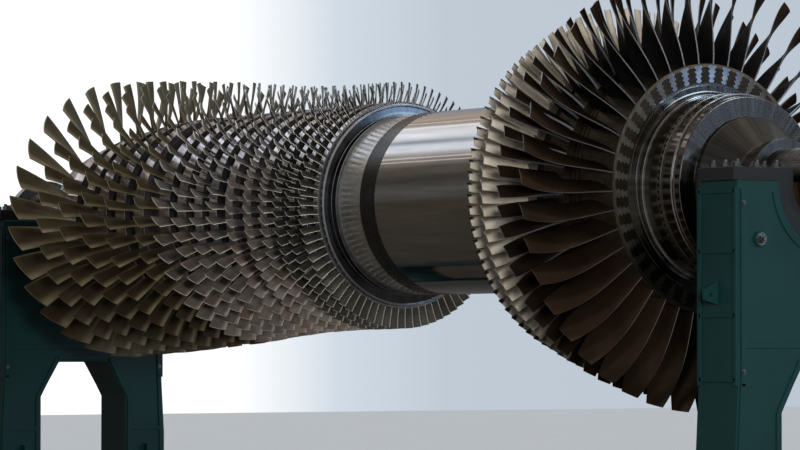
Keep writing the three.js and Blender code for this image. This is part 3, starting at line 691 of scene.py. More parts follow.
for i, s in enumerate(TURB):
    ra, rb = s["rim"]
    ha, hb = s["hub"]
    la, lb = s["le"][1], s["te"][1]
    xl, xt = X(s["le"][0]), X(s["te"][0])

    def hub(x, ra=ra, rb=rb, ha=ha, hb=hb):
        return np.interp(x, [X(ra), X(rb)], [ha * RD, hb * RD])

    def tip(x, xl=xl, xt=xt, la=la, lb=lb):
        return np.interp(x, [xl - 0.02, xt + 0.02], [la * RD, lb * RD])

    xm_r, xm_t = (X(ra) + X(rb)) / 2, (xl + xt) / 2
    tan_t = rad(s["turn"]) * (la + lb) / 2 * RD
    c_tip, phi_tip = math.hypot(xt - xl, tan_t), math.degrees(math.atan2(tan_t, xt - xl))
    sect = span_sections(xm_r, xm_t, s["c_root"] * RD, c_tip, s["phi_root"], phi_tip, hub, tip,
                         -s["turn"] / 2, -s["turn"] / 2 + s["lean"], k=9 if i < 2 else 14, power=s["power"], camber=s["camber"],
                         thick=s["thick"], c_power=s["c_power"], bow=-0.7 if i == 3 else 0.0)
    blade_row((coated1, coated, dark3, dark4)[i], s["n"], s["phase"], sect, m=11, suction=1.0, hollow_shade=0 if i < 2 else 2,
              blunt=(BLUNT, BLUNT, 0.32, 0.13)[i])
    xa, xb = X(ra), X(rb)
    skew = math.degrees((xb - xa) / 2 * math.tan(rad(s["phi_root"] * 0.7)) / (ha * RD))
    block_row(tplat if i < 2 else tplat_dark, s["n"], s["phase"] - s["turn"] / 2 + s["lean"], xa, xb, ha * RD, hb * RD, skew, 0.06 if i < 3 else 0.030,
              gap=0.0012 if i < 3 else 0.0006)
ob_coat1 = coated1.make("turbine_blades_row_1", M_COAT_A, smooth=40, slot="coated_blades", second=M_COAT_TIP)
ob_coat = coated.make("turbine_blades_row_2", M_COAT, smooth=40, slot="coated_blades", second=M_COAT_TIP2)
# turbine rows 3 and 4: brown blade metal on one side, a near-black copy on the concave sides as painted shade, light
# grey copies on trailing edges and tips as painted highlight
ob_dark3 = dark3.make("turbine_blades_row_3", M_DARK, smooth=40, slot="dark_blades", second=M_EDGE_HIGHLIGHT_3, third=M_HOLLOW_SHADE)
ob_dark4 = dark4.make("turbine_blades_row_4", M_DARK, smooth=40, slot="dark_blades", second=M_EDGE_HIGHLIGHT, third=M_HOLLOW_SHADE)
ob_tp = tplat.make("turbine_platforms_coated", M_COAT, smooth=25, slot="coated_blades")
ob_tpd = tplat_dark.make("turbine_platforms_dark", M_ROOT_B, smooth=25, slot="dark_blades")
for i in range(4):
    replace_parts((ob_coat1, ob_coat, ob_dark3, ob_dark4)[i], "turbine_stage_%d" % (i + 1))

tc = [(X(-3.530) + 0.001, 0.0)]
necks = [1.26, 1.24, 1.18]
for i, s in enumerate(TURB):
    xa, xb = X(s["rim"][0]) + (0.001 if i == 0 else 0.006), X(s["rim"][1]) - (0.006 if i < 3 else 0.0)
    tc.append((xa, s["hub"][0] * RD - 0.03))
    tc.append((xb, s["hub"][1] * RD - 0.03))
    if i < 3:
        xn = X(TURB[i + 1]["rim"][0])
        tc.append((xb, necks[i] * RD))
        tc.append((xn + 0.006, necks[i] * RD))
tc += [(X(-5.3745), 1.216 * RD), (X(-5.3745), 1.035 * RD), (X(-5.3800), 1.032 * RD), (X(-5.3810), 0.975 * RD), (X(-5.3830), 0.962 * RD), (X(-5.3880), 0.952 * RD),
       (X(-5.3950), 0.946 * RD), (X(-5.4050), 0.943 * RD), (X(-5.4050), 0.0)]
tc = [p for k, p in enumerate(tc) if k == 0 or abs(p[0] - tc[k - 1][0]) > 1e-6 or abs(p[1] - tc[k - 1][1]) > 1e-6]
ob_tcore = lathe("turbine_core", bevel_profile(tc, 0.002), M_DISC, seg=256, smooth=20, slot="dark_blades")

for nme, ta, tb, r0 in (("seal_1", -3.806, -3.952, 1.36), ("seal_2", -4.267, -4.412, 1.325), ("seal_3", -4.728, -4.922, 1.275)):
    lathe("turbine_" + nme, bevel_profile([(X(ta), r0 * RD - 0.05), (X(ta), r0 * RD)] + [
        (X(ta + (tb - ta) * q / 6.0), (r0 - (0.0 if q % 2 else 0.006)) * RD) for q in range(1, 6)] + [(X(tb), r0 * RD), (X(tb), r0 * RD - 0.05)], 0.0015),
        M_ROOT_B, seg=192, slot="dark_blades")

# roots of the last row seen end on in the wheel's rear face, between the posts of the wheel
roots, posts = Bag(), Bag()
s4 = TURB[3]
p4 = 360.0 / s4["n"]


def ladder(bag, left, right, xa_, xb_):
    """A flat plate whose two long edges are lists of (radius, angle)."""
    outline = left + right[::-1]
    k, half = len(outline), len(left)
    va = [cyl(xa_, r * RD, rad(a)) for r, a in outline]
    vb = [cyl(xb_, r * RD, rad(a)) for r, a in outline]
    quads = [(q, q + 1, k - 2 - q, k - 1 - q) for q in range(half - 1)]
    bag.add(np.array(va + vb), quads + [tuple(q + k for q in f) for f in quads]
            + [(q, (q + 1) % k, k + (q + 1) % k, k + q) for q in range(k)])


for j in range(s4["n"]):
    mid = s4["phase"] - 7.35 + j * p4
    left, right = [], []
    for k in range(4):
        r0 = 1.234 - k * 0.046
        wide, slim = 0.30 - 0.028 * k, 0.19 - 0.026 * k
        for rr, ww in ((r0, slim), (r0 - 0.010, wide), (r0 - 0.024, wide - 0.02), (r0 - 0.034, slim)):
            skew = (rr - 1.216) * 4.0
            left.append((rr, mid - p4 * ww + skew))
            right.append((rr, mid + p4 * ww + skew))
    ladder(roots, left, right, X(-5.380) - 0.010, X(-5.380) + 0.0022)
    nxt = [(r, a + p4) for r, a in left]
    ladder(posts, [(r, a + 0.10) for r, a in right], [(r, a - 0.10) for r, a in nxt], X(-5.380) - 0.010, X(-5.380) - 0.0004)
roots.make("turbine_roots", M_ROOT_A, smooth=30, slot="dark_blades")
posts.make("turbine_posts", M_ROOT_B, smooth=30, slot="dark_blades")
ob = lathe("turbine_rim_edge", [(X(-5.380) - 0.012, 1.214 * RD), (X(-5.380) - 0.012, 1.2475 * RD), (X(-5.380) + 0.0008, 1.2475 * RD),
                                (X(-5.380) + 0.0016, 1.2455 * RD), (X(-5.380) + 0.0016, 1.2385 * RD), (X(-5.380) + 0.0006, 1.2370 * RD),
                                (X(-5.380) + 0.0006, 1.214 * RD)], M_EDGE_GOLD, seg=256, slot="dark_blades")

# rear drum with its lip, the ring of small holes and the shoulder behind it; the holes are near-black discs laid on the
# strip, painted shade in place of their depth
ob = lathe("rear_drum_fine", bevel_profile([
    (X(-5.405) + 0.001, 0.0), (X(-5.405) + 0.001, 0.9395 * RD), (X(-5.448), 0.9375 * RD), (X(-5.458), 0.925 * RD), (X(-5.655), 0.929 * RD),
    (X(-5.745), 0.929 * RD), (X(-5.750), 0.926 * RD), (X(-5.87), 0.922 * RD), (X(-5.88), 0.915 * RD), (X(-5.885), 0.900 * RD),
    (X(-5.975), 0.895 * RD), (X(-5.98), 0.885 * RD), (X(-5.98), 0.0)], 0.003), M_REAR_DRUM, seg=256, slot="shaft_steel")
# the lip and the shoulder in a light copy of the drum's steel, a painted highlight
for nme, ta, tb, r0, r1 in (("lip", -5.448, -5.455, 0.915, 0.9395), ("shoulder", -5.871, -5.881, 0.900, 0.9230)):
    lathe("rear_drum_" + nme, bevel_profile([(X(ta), r0 * RD), (X(ta), r1 * RD), (X(tb), r1 * RD), (X(tb), r0 * RD)], 0.002), M_TURNED_HIGHLIGHT_REAR, seg=256,
          slot="shaft_steel")
lathe("rear_drum_strip", bevel_profile([(X(-5.671), 0.920 * RD), (X(-5.671), 0.9350 * RD), (X(-5.729), 0.9350 * RD), (X(-5.729), 0.920 * RD)], 0.002),
      M_STRIP, seg=256, slot="shaft_steel")
hole_shades = Bag()
for j in range(88):
    a = rad(-65.27 + j * 360.0 / 88)
    er, et = np.array([0, math.sin(a), math.cos(a)]), np.array([0, math.cos(a), -math.sin(a)])
    base = np.array([X(-5.700), 0, AZ])
    ring = [base + np.array([0.0115, 0, 0]) * math.cos(q) + et * 0.0130 * math.sin(q) for q in np.arange(12) * 2 * math.pi / 12]
    hole_shades.add(np.array([v + er * 0.93 * RD for v in ring] + [v + er * (0.935 * RD + 0.0006) for v in ring]),
             [tuple(range(12)), tuple(range(12, 24))] + [(q, (q + 1) % 12, 12 + (q + 1) % 12, 12 + q) for q in range(12)])
hole_shades.make("rear_drum_hole_shades", M_HOLE_SHADE, smooth=30, slot="shaft_steel")
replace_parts(ob, "rear_drum")
s1 = X(-6.86)
ob = lathe("rear_shaft_fine", bevel_profile([
    (X(-5.98) + 0.001, 0.0), (X(-5.98) + 0.001, 0.70 * RD), (X(-6.02), 0.69 * RD), (X(-6.25), 0.30), (s1 - 0.32, 0.28), (s1 - 0.32, 0.335),
    (s1 - 0.25, 0.335), (s1 - 0.25, 0.26), (s1 + 0.25, 0.26), (s1 + 0.25, 0.225), (5.60, 0.225), (5.60, 0.0)], 0.006), M_SHAFT, slot="shaft_steel")
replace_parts(ob, "rear_shaft")

# ------------------------------------------------------------------ stand
RAIL_H, RAIL_Y, RAIL_X = 0.560, 0.700, 5.560
SEATS = [("front", X(7.18)), ("rear", X(-6.86))]
GAP = 0.0003


def drawn(bag, outline, x0, x1):
    """An outline in (y, z) drawn out along X."""
    k = len(outline)
    v = [(x0, y, z) for y, z in outline] + [(x1, y, z) for y, z in outline]
    bag.add(np.array(v), [tuple(range(k)), tuple(range(k, 2 * k))] + [(q, (q + 1) % k, k + (q + 1) % k, k + q) for q in range(k)])


def block(bag, x0, x1, y0, y1, z0, z1):
    drawn(bag, [(y0, z0), (y1, z0), (y1, z1), (y0, z1)], x0, x1)


def prism(bag, c, axis, r, h, n=6, spin=0.0):
    """An n-sided prism standing on c along axis."""
    a = np.array(axis, float)
    u = np.cross(a, (0.0, 0.0, 1.0) if abs(a[2]) < 0.9 else (1.0, 0.0, 0.0))
    u /= np.linalg.norm(u)
    w = np.cross(a, u)
    q = spin + np.arange(n) * 2 * math.pi / n
    ring = np.array(c, float) + r * (np.outer(np.cos(q), u) + np.outer(np.sin(q), w))
    bag.add(np.concatenate([ring, ring + a * h]), [tuple(range(n)), tuple(range(n, 2 * n))]
            + [(i_, (i_ + 1) % n, n + (i_ + 1) % n, n + i_) for i_ in range(n)])


def bolt(bag, c, axis, r=0.022, h=0.018, stud=0.010):
    a = np.array(axis, float)
    prism(bag, c, axis, r * 1.75, 0.004, 20)
    prism(bag, np.array(c) + a * 0.004, axis, r * 1.15, h, 6, 0.3)
    prism(bag, np.array(c) + a * (0.004 + h), axis, r * 0.6, stud, 14)


def seam(bag, a, b, up, out_, size=0.008):
    """A weld bead in the corner between two faces, from a to b."""
    a, b, up, out_ = (np.array(q, float) for q in (a, b, up, out_))
    prof = [-0.002 * up - 0.002 * out_, up * size, (up + out_) * size * 0.62, out_ * size]
    v = [a + q for q in prof] + [b + q for q in prof]
    bag.add(np.array(v), [(0, 1, 2, 3), (4, 5, 6, 7)] + [(q, (q + 1) % 4, 4 + (q + 1) % 4, 4 + q) for q in range(4)])


def arc(r, a0, a1, n):
    return [(r * math.cos(rad(a0 + (a1 - a0) * q / n)), AZ + r * math.sin(rad(a0 + (a1 - a0) * q / n))) for q in range(n + 1)]


bolts, welds = Bag(), Bag()
for side, sg in (("near", -1), ("far", 1)):
    y, w, f, web = sg * RAIL_Y, 0.15, 0.036, 0.014
    rail = Bag()
    drawn(rail, [(y - w, 0), (y + w, 0), (y + w, f), (y + web, f), (y + web, RAIL_H - f), (y + w, RAIL_H - f), (y + w, RAIL_H),
                 (y - w, RAIL_H), (y - w, RAIL_H - f), (y - web, RAIL_H - f), (y - web, f), (y - w, f)], -RAIL_X, RAIL_X)
    for q in range(12):
        x = -5.17 + q * 0.94
        for d in (-1, 1):
            ya, yb = y + d * (web - 0.001), y + d * (w - 0.008)
            drawn(rail, [(ya, f - 0.001), (yb, f - 0.001), (yb, RAIL_H - f - 0.04), (yb - d * 0.04, RAIL_H - f + 0.001), (ya, RAIL_H - f + 0.001)]
                  if d > 0 else [(ya, f - 0.001), (ya, RAIL_H - f + 0.001), (yb - d * 0.04, RAIL_H - f + 0.001), (yb, RAIL_H - f - 0.04), (yb, f - 0.001)], x - 0.007, x + 0.007)
            seam(welds, (x + 0.007, y + d * web, f), (x + 0.007, y + d * web, RAIL_H - f), (1, 0, 0), (0, d, 0))
    for x in (-5.40, -3.0, -1.0, 1.0, 3.0, 5.40):
        for d in (-1, 1):
            block(rail, x - 0.06, x + 0.06, *sorted((y + d * (w - 0.05), y + d * (w + 0.055))), f + 0.0005, f + 0.022)
            bolt(bolts, (x, y + d * (w + 0.028), f + 0.022), (0, 0, 1), 0.020, 0.020, 0.03)
            prism(bolts, (x, y + d * (w + 0.028), 0.001), (0, 0, 1), 0.012, f, 12)
    ob = rail.make("rail_fine_" + side, M_TEAL, smooth=20, body="stand", slot="teal_paint", chamfer=0.004)
    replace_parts(ob, "stand_rail_" + side)

inner = RAIL_Y - 0.15 - GAP
for nme, x in (("front", SEATS[0][1]), ("mid_front", -1.85), ("mid_rear", 1.65), ("rear", SEATS[1][1])):
    cross = Bag()
    block(cross, x - 0.13, x + 0.13, -inner, inner, 0.12, 0.46)
    for sg in (-1, 1):
        block(cross, x - 0.165, x + 0.165, *sorted((sg * (inner - 0.016), sg * inner)), 0.08, 0.50)
        for dx in (-0.147, 0.147):
            for z in (0.11, 0.29, 0.47):
                bolt(bolts, (x + dx, sg * (inner - 0.016), z), (0, -sg, 0), 0.014, 0.012, 0.006)
        for d in (-1, 1):
            seam(welds, (x + d * 0.13, sg * (inner - 0.016), 0.12), (x + d * 0.13, sg * (inner - 0.016), 0.46), (d, 0, 0), (0, -sg, 0))
        seam(welds, (x - 0.13, sg * (inner - 0.016), 0.46), (x + 0.13, sg * (inner - 0.016), 0.46), (0, 0, 1), (0, -sg, 0))
    ob = cross.make("cross_fine_" + nme, M_TEAL, smooth=20, body="stand", slot="teal_paint", chamfer=0.005)
    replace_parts(ob, "stand_cross_" + nme)

S_OUT, SH_OUT, SH_IN = 0.470, 0.320, 0.262
for nme, x in SEATS:
    h = 0.22
    ped, plates = Bag(), Bag()
    outline = [(-0.88, RAIL_H + GAP), (-0.45, RAIL_H + GAP), (-0.45, 1.25), (-0.26, 1.56), (0.26, 1.56), (0.45, 1.25), (0.45, RAIL_H + GAP),
               (0.88, RAIL_H + GAP), (0.88, 0.90), (0.85, 1.40), (0.85, AZ - GAP)]
    outline += [(y, min(z, AZ - GAP)) for y, z in arc(S_OUT + 0.0009, 0, -180, 60)]
    outline += [(-0.85, AZ - GAP), (-0.85, 1.40), (-0.88, 0.90)]
    drawn(ped, outline, x - h, x + h)
    # face plates and ribs welded on both faces, feet plates under the legs
    for d in (-1, 1):
        xf = x + d * h
        xa, xb = sorted((xf - d * 0.001, xf + d * 0.014))
        for sg in (-1, 1):
            block(plates, xa, xb, *sorted((sg * 0.795, sg * 0.83)), 1.42, AZ - 0.06)
            drawn(plates, [(sg * 0.795, 1.44), (sg * 0.835, 1.44), (sg * 0.865, 0.90), (sg * 0.865, 0.66), (sg * 0.82, 0.66), (sg * 0.82, 0.90)][::sg], xa, xb)
            block(plates, xa, xb, *sorted((sg * 0.470, sg * 0.510)), 0.66, 1.23)
            drawn(plates, [(sg * 0.470, 1.225), (sg * 0.510, 1.235), (sg * 0.300, 1.605), (sg * 0.268, 1.585)][::sg], xa, xb)
            block(plates, xa, xb, *sorted((sg * 0.51, sg * 0.82)), 0.93, 0.965)
            # gusset from the foot plate
            block(plates, *sorted((xf - d * 0.001, xf + d * 0.075)), *sorted((sg * 0.645, sg * 0.665)), 0.588, 0.80)
            seam(welds, (xf, sg * 0.645, 0.60), (xf, sg * 0.645, 0.80), (0, -sg, 0), (d, 0, 0), 0.007)
        block(plates, xa, xb, -0.795, 0.795, 1.685, 1.720)
        block(plates, xa, xb, -0.270, 0.270, 1.585, 1.620)
        drawn(plates, [(0.545 * math.cos(rad(q)), AZ + 0.545 * math.sin(rad(q))) for q in np.linspace(-172, -8, 42)]
              + [(0.510 * math.cos(rad(q)), AZ + 0.510 * math.sin(rad(q))) for q in np.linspace(-8, -172, 42)], xa, xb)
        # inspection cover with its ring of screws
        prism(plates, (xf, 0.0, 2.02), (d, 0, 0), 0.145, 0.012, 40)
        prism(plates, (xf, 0.0, 2.02), (d, 0, 0), 0.125, 0.020, 40)
        for q in range(8):
            a = rad(22.5 + 45 * q)
            bolt(bolts, (xf + d * 0.012, 0.135 * math.cos(a), 2.02 + 0.135 * math.sin(a)), (d, 0, 0), 0.0065, 0.006, 0.002)
        for sg in (-1, 1):
            prism(plates, (xf, sg * 0.66, 2.45), (d, 0, 0), 0.055, 0.030, 28)
            bolt(bolts, (xf + d * 0.030, sg * 0.66, 2.45), (d, 0, 0), 0.026, 0.022, 0.014)
            bolt(bolts, (xf + d * 0.014, sg * 0.8125, 1.52), (d, 0, 0), 0.011, 0.009, 0.004)
            bolt(bolts, (xf + d * 0.014, sg * 0.8125, 2.70), (d, 0, 0), 0.011, 0.009, 0.004)
    for sg in (-1, 1):
        block(plates, x - 0.305, x + 0.305, *sorted((sg * 0.555, sg * 0.900)), RAIL_H + 0.0005, RAIL_H + 0.030)
        for dx in (-0.268, 0.268):
            for yy in (0.600, 0.855):
                bolt(bolts, (x + dx, sg * yy, RAIL_H + 0.030), (0, 0, 1), 0.022, 0.022, 0.016)
        # outer side: two uprights and rungs
        ys = sorted((sg * 0.849, sg * 0.866))
        for dx in (-0.195, 0.195):
            block(plates, x + dx - 0.018, x + dx + 0.018, *ys, 1.42, AZ - 0.05)
        for z in (1.45, 1.90, 2.35, 2.77):
            block(plates, x - 0.195, x + 0.195, *ys, z, z + 0.032)
        # lifting lug on the outer side
        drawn(plates, [(sg * 0.86, 1.99), (sg * 0.975, 2.02), (sg * 0.985, 2.06), (sg * 0.975, 2.10), (sg * 0.86, 2.16)][::sg], x - 0.016, x + 0.016)
        prism(plates, (x - 0.024, sg * 0.935, 2.062), (1, 0, 0), 0.030, 0.048, 24)
        prism(bolts, (x - 0.0255, sg * 0.935, 2.062), (1, 0, 0), 0.017, 0.051, 20)
    ob = ped.make(nme + "_pedestal_fine", M_TEAL, smooth=20, body="stand", slot="teal_paint", chamfer=0.006)
    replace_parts(ob, nme + "_pedestal")
    plates.make(nme + "_pedestal_plates", M_TEAL, smooth=20, body="stand", slot="teal_paint", chamfer=0.002)

    # saddle with keeper wings and studs
    sad = Bag()
    drawn(sad, arc(S_OUT, 0, -180, 60) + [(-0.87, AZ), (-0.87, AZ + 0.095), (-(SH_OUT + 0.0009), AZ + 0.095)]
          + arc(SH_OUT + 0.0009, -180, 0, 60) + [(SH_OUT + 0.0009, AZ + 0.095), (0.87, AZ + 0.095), (0.87, AZ)], x - h + 0.02, x + h - 0.02)
    ob = sad.make(nme + "_saddle_fine", M_BLACK, smooth=20, body="stand", slot="dark_steel", chamfer=0.004)
    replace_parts(ob, nme + "_saddle")
    for sg in (-1, 1):
        for dx in (-0.13, 0.0, 0.13):
            for yy in (0.42, 0.60, 0.78):
                if dx == 0.0 and yy == 0.60:
                    continue
                bolt(bolts, (x + dx, sg * yy, AZ + 0.095), (0, 0, 1), 0.026, 0.030, 0.022)
    shell = Bag()
    drawn(shell, arc(SH_OUT, -0.5, -179.5, 72) + arc(SH_IN, -179.5, -0.5, 72), x - h + 0.04, x + h - 0.04)
    ob = shell.make(nme + "_shell_fine", M_BRONZE, smooth=20, body="stand", slot="bearing_metal", chamfer=0.003)
    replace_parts(ob, nme + "_bearing_shell")
bolts.make("stand_bolts", M_BOLT, smooth=20, body="stand", slot="dark_steel")
welds.make("stand_welds", M_TEAL, smooth=20, body="stand", slot="teal_paint")

# nut at the end of the tie rod, its washer and the end of the rod
nut = Bag()
prism(nut, (5.601, 0, AZ), (1, 0, 0), 0.150, 0.012, 40)
prism(nut, (5.613, 0, AZ), (1, 0, 0), 0.138, 0.066, 6, 0.52)
prism(nut, (5.660, 0, AZ), (1, 0, 0), 0.072, 0.036, 36)
ob = nut.make("tie_rod_nut_fine", M_BLACK, smooth=20, slot="dark_steel", chamfer=0.005)
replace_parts(ob, "tie_rod_nut")

# ------------------------------------------------------------------ floor, light and camera
fl = bpy.data.meshes.new("floor")
fl.from_pydata([(-60, -60, 0), (60, -60, 0), (60, 60, 0), (-60, 60, 0)], [], [(0, 1, 2, 3)])
floor = bpy.data.objects.new("floor", fl)
scene.collection.objects.link(floor)
mf, nt, bs = new_mat("floor")
c = ramp(nt, noise_at(nt, 0.6, 5.0, 0.6), [(0.3, (0.34, 0.35, 0.36)), (0.7, (0.38, 0.39, 0.40))])
nt.links.new(c, bs.inputs["Base Color"])
bs.inputs["Roughness"].default_value = 0.85
bs.inputs["Emission Color"].default_value = (0.60, 0.64, 0.69, 1.0)
bs.inputs["Emission Strength"].default_value = 0.62
fl.materials.append(mf)
floor.visible_glossy = False
floor.visible_diffuse = False

world = bpy.data.worlds.new("studio")
scene.world = world
world.use_nodes = True
wn = world.node_tree
for n_ in list(wn.nodes):
    wn.nodes.remove(n_)
out = node(wn, "ShaderNodeOutputWorld")
tcw = node(wn, "ShaderNodeTexCoord")


def along(v, lo, hi, smooth=True):
    """0 to 1 as a direction's share along v goes from lo to hi."""
    dt = node(wn, "ShaderNodeVectorMath", operation="DOT_PRODUCT")
    wn.links.new(tcw.outputs["Generated"], dt.inputs[0])
    dt.inputs[1].default_value = v
    mr = node(wn, "ShaderNodeMapRange", interpolation_type="SMOOTHSTEP" if smooth else "LINEAR")
    mr.inputs["From Min"].default_value = lo
    mr.inputs["From Max"].default_value = hi
    wn.links.new(dt.outputs["Value"], mr.inputs["Value"])
    return mr.outputs["Result"]


def both(a, b):
    m_ = node(wn, "ShaderNodeMath", operation="MULTIPLY")
    wn.links.new(a, m_.inputs[0])
    wn.links.new(b, m_.inputs[1])
    return m_.outputs[0]


def turn():
    """0 to 1 as a direction turns round the rotor's axis, a half at +Y and three quarters straight up."""
    sp = node(wn, "ShaderNodeSeparateXYZ")
    wn.links.new(tcw.outputs["Generated"], sp.inputs["Vector"])
    at = node(wn, "ShaderNodeMath", operation="ARCTAN2")
    wn.links.new(sp.outputs["Z"], at.inputs[0])
    wn.links.new(sp.outputs["Y"], at.inputs[1])
    mr = node(wn, "ShaderNodeMapRange")
    mr.inputs["From Min"].default_value = -math.pi
    mr.inputs["From Max"].default_value = math.pi
    wn.links.new(at.outputs[0], mr.inputs["Value"])
    return mr.outputs["Result"]


def at_deg(d):
    return (d + 180.0) / 360.0


# what the metal mirrors: bands of light and dark round the rotor's axis, darker towards the camera
bands = ramp(wn, turn(), [
    (at_deg(-180), (0.060, 0.052, 0.042)), (at_deg(-60), (0.030, 0.027, 0.024)), (at_deg(-6), (0.10, 0.10, 0.10)),
    (at_deg(6), (0.25, 0.28, 0.32)), (at_deg(30), (0.28, 0.30, 0.34)), (at_deg(46), (0.46, 0.38, 0.33)), (at_deg(57), (0.52, 0.42, 0.36)),
    (at_deg(60.0), (0.36, 0.31, 0.27)), (at_deg(69.5), (0.46, 0.42, 0.40)), (at_deg(72.5), (1.30, 1.27, 1.25)), (at_deg(76), (0.90, 0.92, 0.97)),
    (at_deg(88), (1.12, 1.16, 1.28)), (at_deg(95), (0.80, 0.86, 0.96)), (at_deg(99.5), (0.40, 0.45, 0.52)), (at_deg(106), (0.95, 1.04, 1.18)),
    (at_deg(113), (1.02, 1.06, 1.16)), (at_deg(119.5), (0.46, 0.43, 0.43)), (at_deg(136), (0.13, 0.115, 0.095)), (at_deg(154), (0.058, 0.058, 0.055)),
    (at_deg(166), (0.105, 0.107, 0.10)), (at_deg(174), (0.088, 0.085, 0.078)), (at_deg(180), (0.060, 0.052, 0.042))])


def line_at(col, deg, half, light):
    """A thin bright line lengthwise."""
    w = node(wn, "ShaderNodeMath", operation="COMPARE")
    wn.links.new(turn(), w.inputs[0])
    w.inputs[1].default_value = at_deg(deg)
    w.inputs[2].default_value = half / 360.0
    return mix(wn, w.outputs[0], col, light)


bands = line_at(bands, 123.4, 0.65, (1.0, 0.94, 0.90))
bands = line_at(bands, 128.4, 0.60, (0.90, 0.83, 0.76))
bands = line_at(bands, 62.5, 0.9, (0.95, 0.86, 0.78))
side = mix(wn, along((0.0, 1.0, 0.0), 0.735, 0.785), (0.40, 0.37, 0.33), (0.25, 0.275, 0.27))
side = mix(wn, along((0.0, 0.0, 1.0), 0.06, 0.14), (0.30, 0.325, 0.35), side)
side = mix(wn, along((0.0, 0.2, 1.0), -0.30, 0.10), (0.03, 0.028, 0.026), side)
warm = mix(wn, along((0.0, 1.0, 0.0), 0.60, 0.66), bands, side)
# overhead: dark, with three soft bright rows
overhead = ramp(wn, along((0.0, 1.0, 0.0), -1.0, 1.0, False), [
    (0.0, (0.10, 0.10, 0.09)), (0.28, (0.12, 0.115, 0.10)), (0.33, (0.46, 0.44, 0.40)), (0.38, (0.13, 0.125, 0.105)), (0.47, (0.15, 0.145, 0.125)),
    (0.53, (0.66, 0.63, 0.58)), (0.60, (0.17, 0.16, 0.14)), (0.68, (0.17, 0.16, 0.14)), (0.72, (0.60, 0.58, 0.54)), (0.77, (0.16, 0.155, 0.135)),
    (1.0, (0.14, 0.14, 0.13))])
above = mix(wn, along((0.0, 0.0, 1.0), 0.60, 0.66), warm, overhead)
far = mix(wn, along((-1.0, 0.25, 0.25), -0.45, 0.35), (0.075, 0.072, 0.068), above)
high = both(both(along((0.0, 0.0, 1.0), 0.105, 0.135), along((0.0, 1.0, 0.0), 0.500, 0.545)), along((1.0, 0.0, 0.0), 0.70, 0.74))
sky = mix(wn, along((0.0, 0.0, 1.0), 0.15, 0.245), (0.55, 0.98, 1.60), (2.9, 3.9, 5.0))
far = mix(wn, high, far, sky)
far = mix(wn, along((0.80, -0.60, -0.05), 0.86, 0.95), far, (0.17, 0.18, 0.19))
far = mix(wn, along((0.98, 0.03, 0.10), 0.95, 0.985), far, (0.75, 0.80, 0.88))
far = mix(wn, both(both(along((0.0, 1.0, 0.0), 0.6300, 0.6325), along((0.0, -1.0, 0.0), -0.6430, -0.6410)), both(along((0.0, 0.0, 1.0), 0.0630, 0.0650), along((0.0, 0.0, -1.0), -0.0745, -0.0725))),
          far, (1.3, 2.0, 3.9))
bg1 = node(wn, "ShaderNodeBackground")
wn.links.new(far, bg1.inputs["Color"])
bg1.inputs["Strength"].default_value = 1.0
bg2 = node(wn, "ShaderNodeBackground")
back = ramp(wn, along((0.57574491, 0.81762937, 0.0), -0.1, 0.1, False), [
    (0.0, (1.15, 1.15, 1.15)), (0.28, (1.05, 1.06, 1.07)), (0.42, (0.64, 0.71, 0.79)), (0.56, (0.53, 0.595, 0.67)), (1.0, (0.50, 0.57, 0.65))])
wn.links.new(back, bg2.inputs["Color"])
bg2.inputs["Strength"].default_value = 1.0
lp = node(wn, "ShaderNodeLightPath")
mx = node(wn, "ShaderNodeMixShader")
wn.links.new(lp.outputs["Is Camera Ray"], mx.inputs["Fac"])
wn.links.new(bg1.outputs[0], mx.inputs[1])
wn.links.new(bg2.outputs[0], mx.inputs[2])
wn.links.new(mx.outputs[0], out.inputs["Surface"])
scene.view_settings.view_transform = "Standard"


def area(name, loc, target, size, power, color=(1, 1, 1)):
    ld = bpy.data.lights.new(name, "AREA")
    ld.shape = "RECTANGLE"
    ld.size, ld.size_y = size
    ld.energy = power
    ld.color = color
    o = bpy.data.objects.new(name, ld)
    scene.collection.objects.link(o)
    o.location = loc
    d = Vector(target) - Vector(loc)
    o.rotation_euler = d.to_track_quat("-Z", "Y").to_euler()
    return o


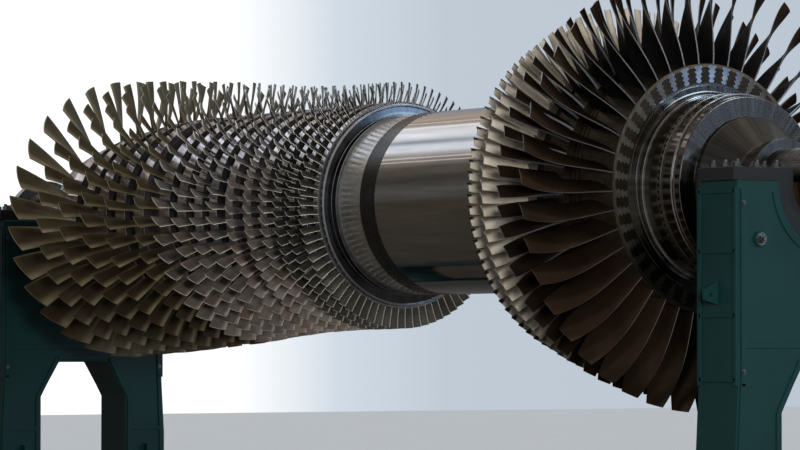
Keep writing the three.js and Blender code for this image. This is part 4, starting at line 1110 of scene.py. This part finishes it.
key = area("top_light", (-2, 2, 9.0), (0, 0, 2.86), (12, 1.2), 170, (0.88, 0.94, 1.0))
key.visible_glossy = False
fill = area("side_light", (16, -7.5, 3.4), (0, 0, 2.7), (3.5, 3), 1250, (1.0, 0.97, 0.93))
fill.visible_glossy = False
upper = area("upper_light", (3.5, -1.0, 9.0), (-0.8, -0.6, 2.9), (5, 2), 240, (0.94, 0.97, 1.0))
lower = area("lower_light", (6.0, -1.6, 0.5), (-0.6, -0.9, 2.6), (1.5, 1.0), 480, (1.0, 0.95, 0.84))
crown = area("crown_light", (9.0, 7.0, 11.0), (3.0, -0.2, 4.2), (3, 3), 600, (1.0, 0.98, 0.95))
front_light = area("front_light", (0.5, -6.0, 10.3), (-3.4, -1.0, 2.7), (2, 2), 330, (1.0, 0.90, 0.68))
wheel_light = area("wheel_light", (6.5, -0.2, 5.6), (4.1, -0.3, 3.3), (0.8, 0.8), 60, (1.0, 0.97, 0.93))
for lamp in (upper, lower, crown, front_light, wheel_light):
    lamp.visible_glossy = False
    lamp.visible_camera = False


def linked(lamp, objects, state="INCLUDE"):
    """A lamp that lights some objects alone, or all but them."""
    group = bpy.data.collections.new(lamp.name + "_objects")
    for o in objects:
        group.objects.link(o)
    lamp.light_linking.receiver_collection = group
    for entry in group.collection_objects:
        entry.light_linking.link_state = state


# the side light leaves out the floor beside it and the rows that have lights of their own
seat = [o for o in scene.objects if o.name.startswith(("exit_ring_edge", "drum_front_fine"))]
wheel = [o for o in scene.objects if o.name.startswith(("turbine_roots", "turbine_posts", "turbine_rim_edge", "rear_drum_strip"))]
linked(fill, [floor, ob_steel, ob_rear] + seat + wheel, "EXCLUDE")
linked(wheel_light, wheel)
linked(upper, [ob_steel, ob_rear] + seat)
linked(lower, [ob_steel, ob_rear])
linked(crown, [ob_coat1, ob_coat] + wheel)
linked(front_light, [ob_front])

cam = bpy.data.cameras.new("camera")
cam.sensor_fit = "HORIZONTAL"
cam.sensor_width = 36.0
cam.lens = 3888.55 / 800.0 * 36.0
cam.clip_end = 500.0
co = bpy.data.objects.new("camera", cam)
scene.collection.objects.link(co)
right, up, fwd = Vector((0.57574491, 0.81762937, 0.0)), Vector((0.02603593, -0.01833356, 0.99949288)), Vector((-0.81721474, 0.57545294, 0.0318432))
m = Matrix((right, up, -fwd)).transposed().to_4x4()
m.translation = Vector((26.22061536, -18.36079727, 1.68150749))
co.matrix_world = m
scene.camera = co
